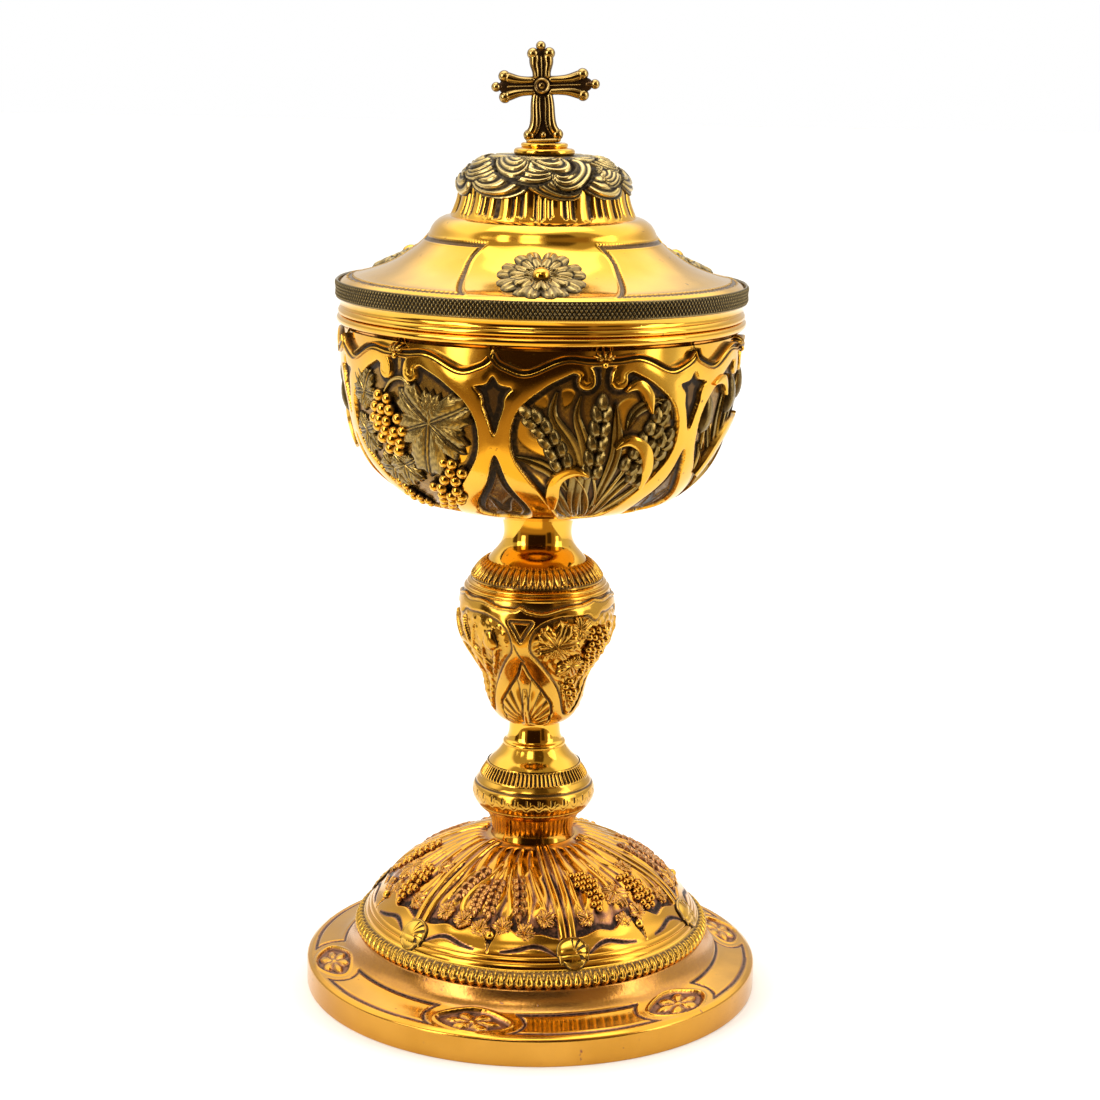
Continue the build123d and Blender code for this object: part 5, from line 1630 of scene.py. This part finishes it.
arm((1, 0), CROSS_HALF + 1.0, 2.85, 12.2, 4.75)
arm((-1, 0), CROSS_HALF - 1.1, 2.85, 11.2, 4.75)
arm((0, 1), CROSS_TOP - CROSS_MID, 2.85, 9.5, 4.1)
# the foot of the cross stands on two scrolls
tube(cross, [(0, CROSS_LOW + 0.3), (0, CROSS_MID - 8), (0, CROSS_MID)], [4.6, 2.9, 2.4], 0.9,
     shade=(0.95, 0.85))
for x in (-1, 1):
    tube(cross, [(1.9 * x, CROSS_MID - 1.8), (2.3 * x, CROSS_MID - 5.0), (2.4 * x, CROSS_MID - 9.4),
                 (3.0 * x, CROSS_MID - 12.4), (4.2 * x, CROSS_MID - 14.0)],
         [1.0, 1.15, 1.25, 1.4, 1.4], [1.6, 1.8, 1.9, 1.9], shade=(0.8, 0.0))
    ball(cross, 4.1 * x, CROSS_MID - 14.1, 1.75, 1.95)
    tube(cross, [(0.75 * x, CROSS_MID - 2.6), (0.85 * x, CROSS_MID - 7.0), (0.85 * x, CROSS_MID - 10.5),
                 (1.9 * x, CROSS_MID - 13.4), (2.7 * x, CROSS_MID - 14.6)],
         [0.36, 0.45, 0.45, 0.40, 0.36], [1.4, 1.5, 1.5, 1.5], shade=(0.9, 0.1))
tube(cross, [(-5.2, CROSS_LOW + 0.65), (0, CROSS_LOW + 0.65), (5.2, CROSS_LOW + 0.65)], 0.8, 1.95)
ball(cross, 0, CROSS_LOW + 2.2, 1.25, CROSS_DEEP)
# round boss at the crossing, with a sunk centre: (radius, depth, patina) of its rings
BOSS = [(2.4, 0.6, 0.9), (2.3, 1.9, 0.5), (1.95, 2.25, 0.0), (1.55, 2.1, 0.4), (1.25, 1.65, 1.0),
        (1.05, 1.7, 0.8), (0.7, 1.95, 0.15), (0.3, 2.08, 0.0)]
turn = np.radians(np.arange(40) * 9)
for face in (-1, 1):
    points = [(r * np.cos(t), face * y, CROSS_MID + face * r * np.sin(t)) for r, y, _ in BOSS for t in turn]
    points += [(0, face * 0.5, CROSS_MID), (0, face * 2.1, CROSS_MID)]
    dark = np.append(np.repeat([patina for _, _, patina in BOSS], 40), [0.9, 0.0])
    cross.add(points, dark, grid_faces(len(BOSS), 40, False, True)[:, ::-1],
              pole_fans(len(BOSS), 40)[:, ::-1])
# the cross stands a little off the lid's axis and leans to the left
LEAN = np.radians(2.6)
for points in cross.points:
    x, z = points[:, 0].copy(), points[:, 2] - CROSS_LOW
    points[:, 0] = np.clip(x * np.cos(LEAN) - z * np.sin(LEAN) - 0.3, -CROSS_HALF, CROSS_HALF)
    points[:, 2] = np.clip(z * np.cos(LEAN) + x * np.sin(LEAN) + CROSS_LOW, CROSS_LOW, CROSS_TOP)
cross.build("cross_ornament", "lid", "dark_bronze", bronze, ["cross"])

# --- CAD nodes that keep their shape ------------------------------------------------------
KEPT = {
    "foot_rim_wire": polished, "base_collar": stem_gilt, "upper_collar": polished,
    "cup_boss": polished, "foot_washer": polished, "lid_bezel": polished,
    "finial_washer": polished, "tie_rod": steel, "foot_nut": steel, "finial_nut": steel,
}
for name, material in KEPT.items():
    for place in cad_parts[name].material_slots:
        place.material = material

# --- studio -------------------------------------------------------------------------------
CAMERA_AT = (3.8, -694.8, 284.9)
CAMERA_PITCH, CAMERA_ROLL = 0.2099, 0.0185
camera = bpy.data.objects.new("camera", bpy.data.cameras.new("camera"))
camera.data.lens = 76.53
camera.data.sensor_width = 36.0
camera.matrix_world = (Matrix.Translation([c * MM for c in CAMERA_AT])
                       @ Matrix.Rotation(np.pi / 2 - CAMERA_PITCH, 4, "X")
                       @ Matrix.Rotation(CAMERA_ROLL, 4, "Z"))
bpy.context.scene.collection.objects.link(camera)
bpy.context.scene.camera = camera

# a pale floor; its front edge stays below the picture so that the gilt mirrors a darker room there
FLOOR_FRONT, FLOOR_BACK, FLOOR_SIDE = -0.125, 9.0, 6.0
floor_mesh = bpy.data.meshes.new("floor")
floor_mesh.from_pydata([(-FLOOR_SIDE, FLOOR_FRONT, 0), (FLOOR_SIDE, FLOOR_FRONT, 0),
                        (FLOOR_SIDE, FLOOR_BACK, 0),
                        (-FLOOR_SIDE, FLOOR_BACK, 0)], [], [(0, 1, 2, 3)])
floor = bpy.data.objects.new("floor", floor_mesh)
paper = bpy.data.materials.new("floor_paper")
paper.use_nodes = True
sheet = paper.node_tree.nodes["Principled BSDF"]
sheet.inputs["Base Color"].default_value = (0.90, 0.90, 0.905, 1)
sheet.inputs["Roughness"].default_value = 0.9
sheet.inputs["Emission Color"].default_value = (1, 1, 1, 1)
sheet.inputs["Emission Strength"].default_value = 0.10
floor_mesh.materials.append(paper)
bpy.context.scene.collection.objects.link(floor)


def softbox(name, at, size, power, colour=(1, 1, 1)):
    """A rectangular area light aimed at the middle of the object."""
    light = bpy.data.objects.new(name, bpy.data.lights.new(name, "AREA"))
    light.data.shape = "RECTANGLE"
    light.data.size, light.data.size_y = size
    light.data.energy = power
    light.data.color = colour
    place = Matrix.Translation(at)
    aim = (Matrix.Translation((0, 0, 0.15)).translation - place.translation).to_track_quat("-Z", "Y")
    light.matrix_world = place @ aim.to_matrix().to_4x4()
    bpy.context.scene.collection.objects.link(light)


softbox("left_box", (-1.1, -0.75, 0.75), (0.7, 0.8), 5)
softbox("right_box", (1.2, -0.35, 0.7), (0.6, 0.9), 3)
softbox("top_box", (-0.1, 0.1, 1.5), (1.3, 1.0), 6)

# white room with a warm front: colour, azimuths from the front towards +X and heights in degrees, and
# softness. Later rows lie over earlier ones.
WHITE_ROOM = (1.70, 1.68, 1.60)
ROOM = [
    ((0.80, 0.78, 0.74), (-180, 180), (-90, 20), 14.0),
    ((0.50, 0.42, 0.27), (-80, 74), (-90, 66), 12.0),
    ((0.31, 0.19, 0.08), (-58, 54), (-90, 42), 8.0),
    ((0.52, 0.33, 0.12), (-60, 58), (-90, -26), 6.0),
    ((1.5, 1.12, 0.45), (-66, 14), (-74, -38), 5.0),
    ((0.024, 0.011, 0.004), (-30, 26), (-17, 30), 3.0),
    ((0.06, 0.035, 0.012), (33, 45), (-24, 14), 3.0),
    ((4.2, 4.0, 3.4), (-53, -43), (-12, 46), 2.0),
    ((0.10, 0.06, 0.025), (-88, -72), (-30, 12), 3.0),
    ((4.0, 3.8, 3.2), (-26, -6), (45, 53), 3.0),
    ((0.10, 0.065, 0.025), (4, 40), (48, 60), 4.0),
    ((3.6, 3.4, 2.9), (64, 72), (-10, 36), 2.0),
]
world = bpy.data.worlds.new("studio")
bpy.context.scene.world = world
world.use_nodes = True
nodes, links = world.node_tree.nodes, world.node_tree.links
room = nodes["Background"]
place = nodes.new("ShaderNodeTexCoord")
split = nodes.new("ShaderNodeSeparateXYZ")
links.new(place.outputs["Generated"], split.inputs["Vector"])


def sum_of(kind, a, b=0.0, c=0.0, clamp=False):
    """One Math node. Numbers are set on its sockets and outputs are linked."""
    node = nodes.new("ShaderNodeMath")
    node.operation, node.use_clamp = kind, clamp
    for socket, value in zip(node.inputs, (a, b, c)):
        if isinstance(value, (int, float)):
            socket.default_value = value
        else:
            links.new(value, socket)
    return node.outputs[0]


def window(value, low, high, soft):
    """1 between low and high, fading over soft outside them."""
    rise = sum_of("MULTIPLY_ADD", value, 1 / soft, -(low - soft) / soft, clamp=True)
    fall = sum_of("MULTIPLY_ADD", value, -1 / soft, (high + soft) / soft, clamp=True)
    return sum_of("MULTIPLY", rise, fall)


def tint(base, colour, share):
    """The base colour mixed towards another."""
    node = nodes.new("ShaderNodeMix")
    node.data_type = "RGBA"
    if isinstance(base, tuple):
        node.inputs["A"].default_value = (*base, 1)
    else:
        links.new(base, node.inputs["A"])
    node.inputs["B"].default_value = (*colour, 1)
    links.new(share, node.inputs["Factor"])
    return node.outputs["Result"]


DEGREES = 57.3  # in one radian
azimuth = sum_of("MULTIPLY",
                 sum_of("ARCTAN2", split.outputs["X"], sum_of("MULTIPLY", split.outputs["Y"], -1.0)),
                 DEGREES)
level = sum_of("MULTIPLY", sum_of("ARCSINE", split.outputs["Z"]), DEGREES)
shade = WHITE_ROOM
for colour, azimuths, levels, soft in ROOM:
    shade = tint(shade, colour,
                 sum_of("MULTIPLY", window(azimuth, *azimuths, soft), window(level, *levels, soft)))
path = nodes.new("ShaderNodeLightPath")
links.new(tint(shade, (1.0, 1.0, 1.0), path.outputs["Is Camera Ray"]), room.inputs["Color"])
bpy.context.scene.view_settings.view_transform = "Standard"
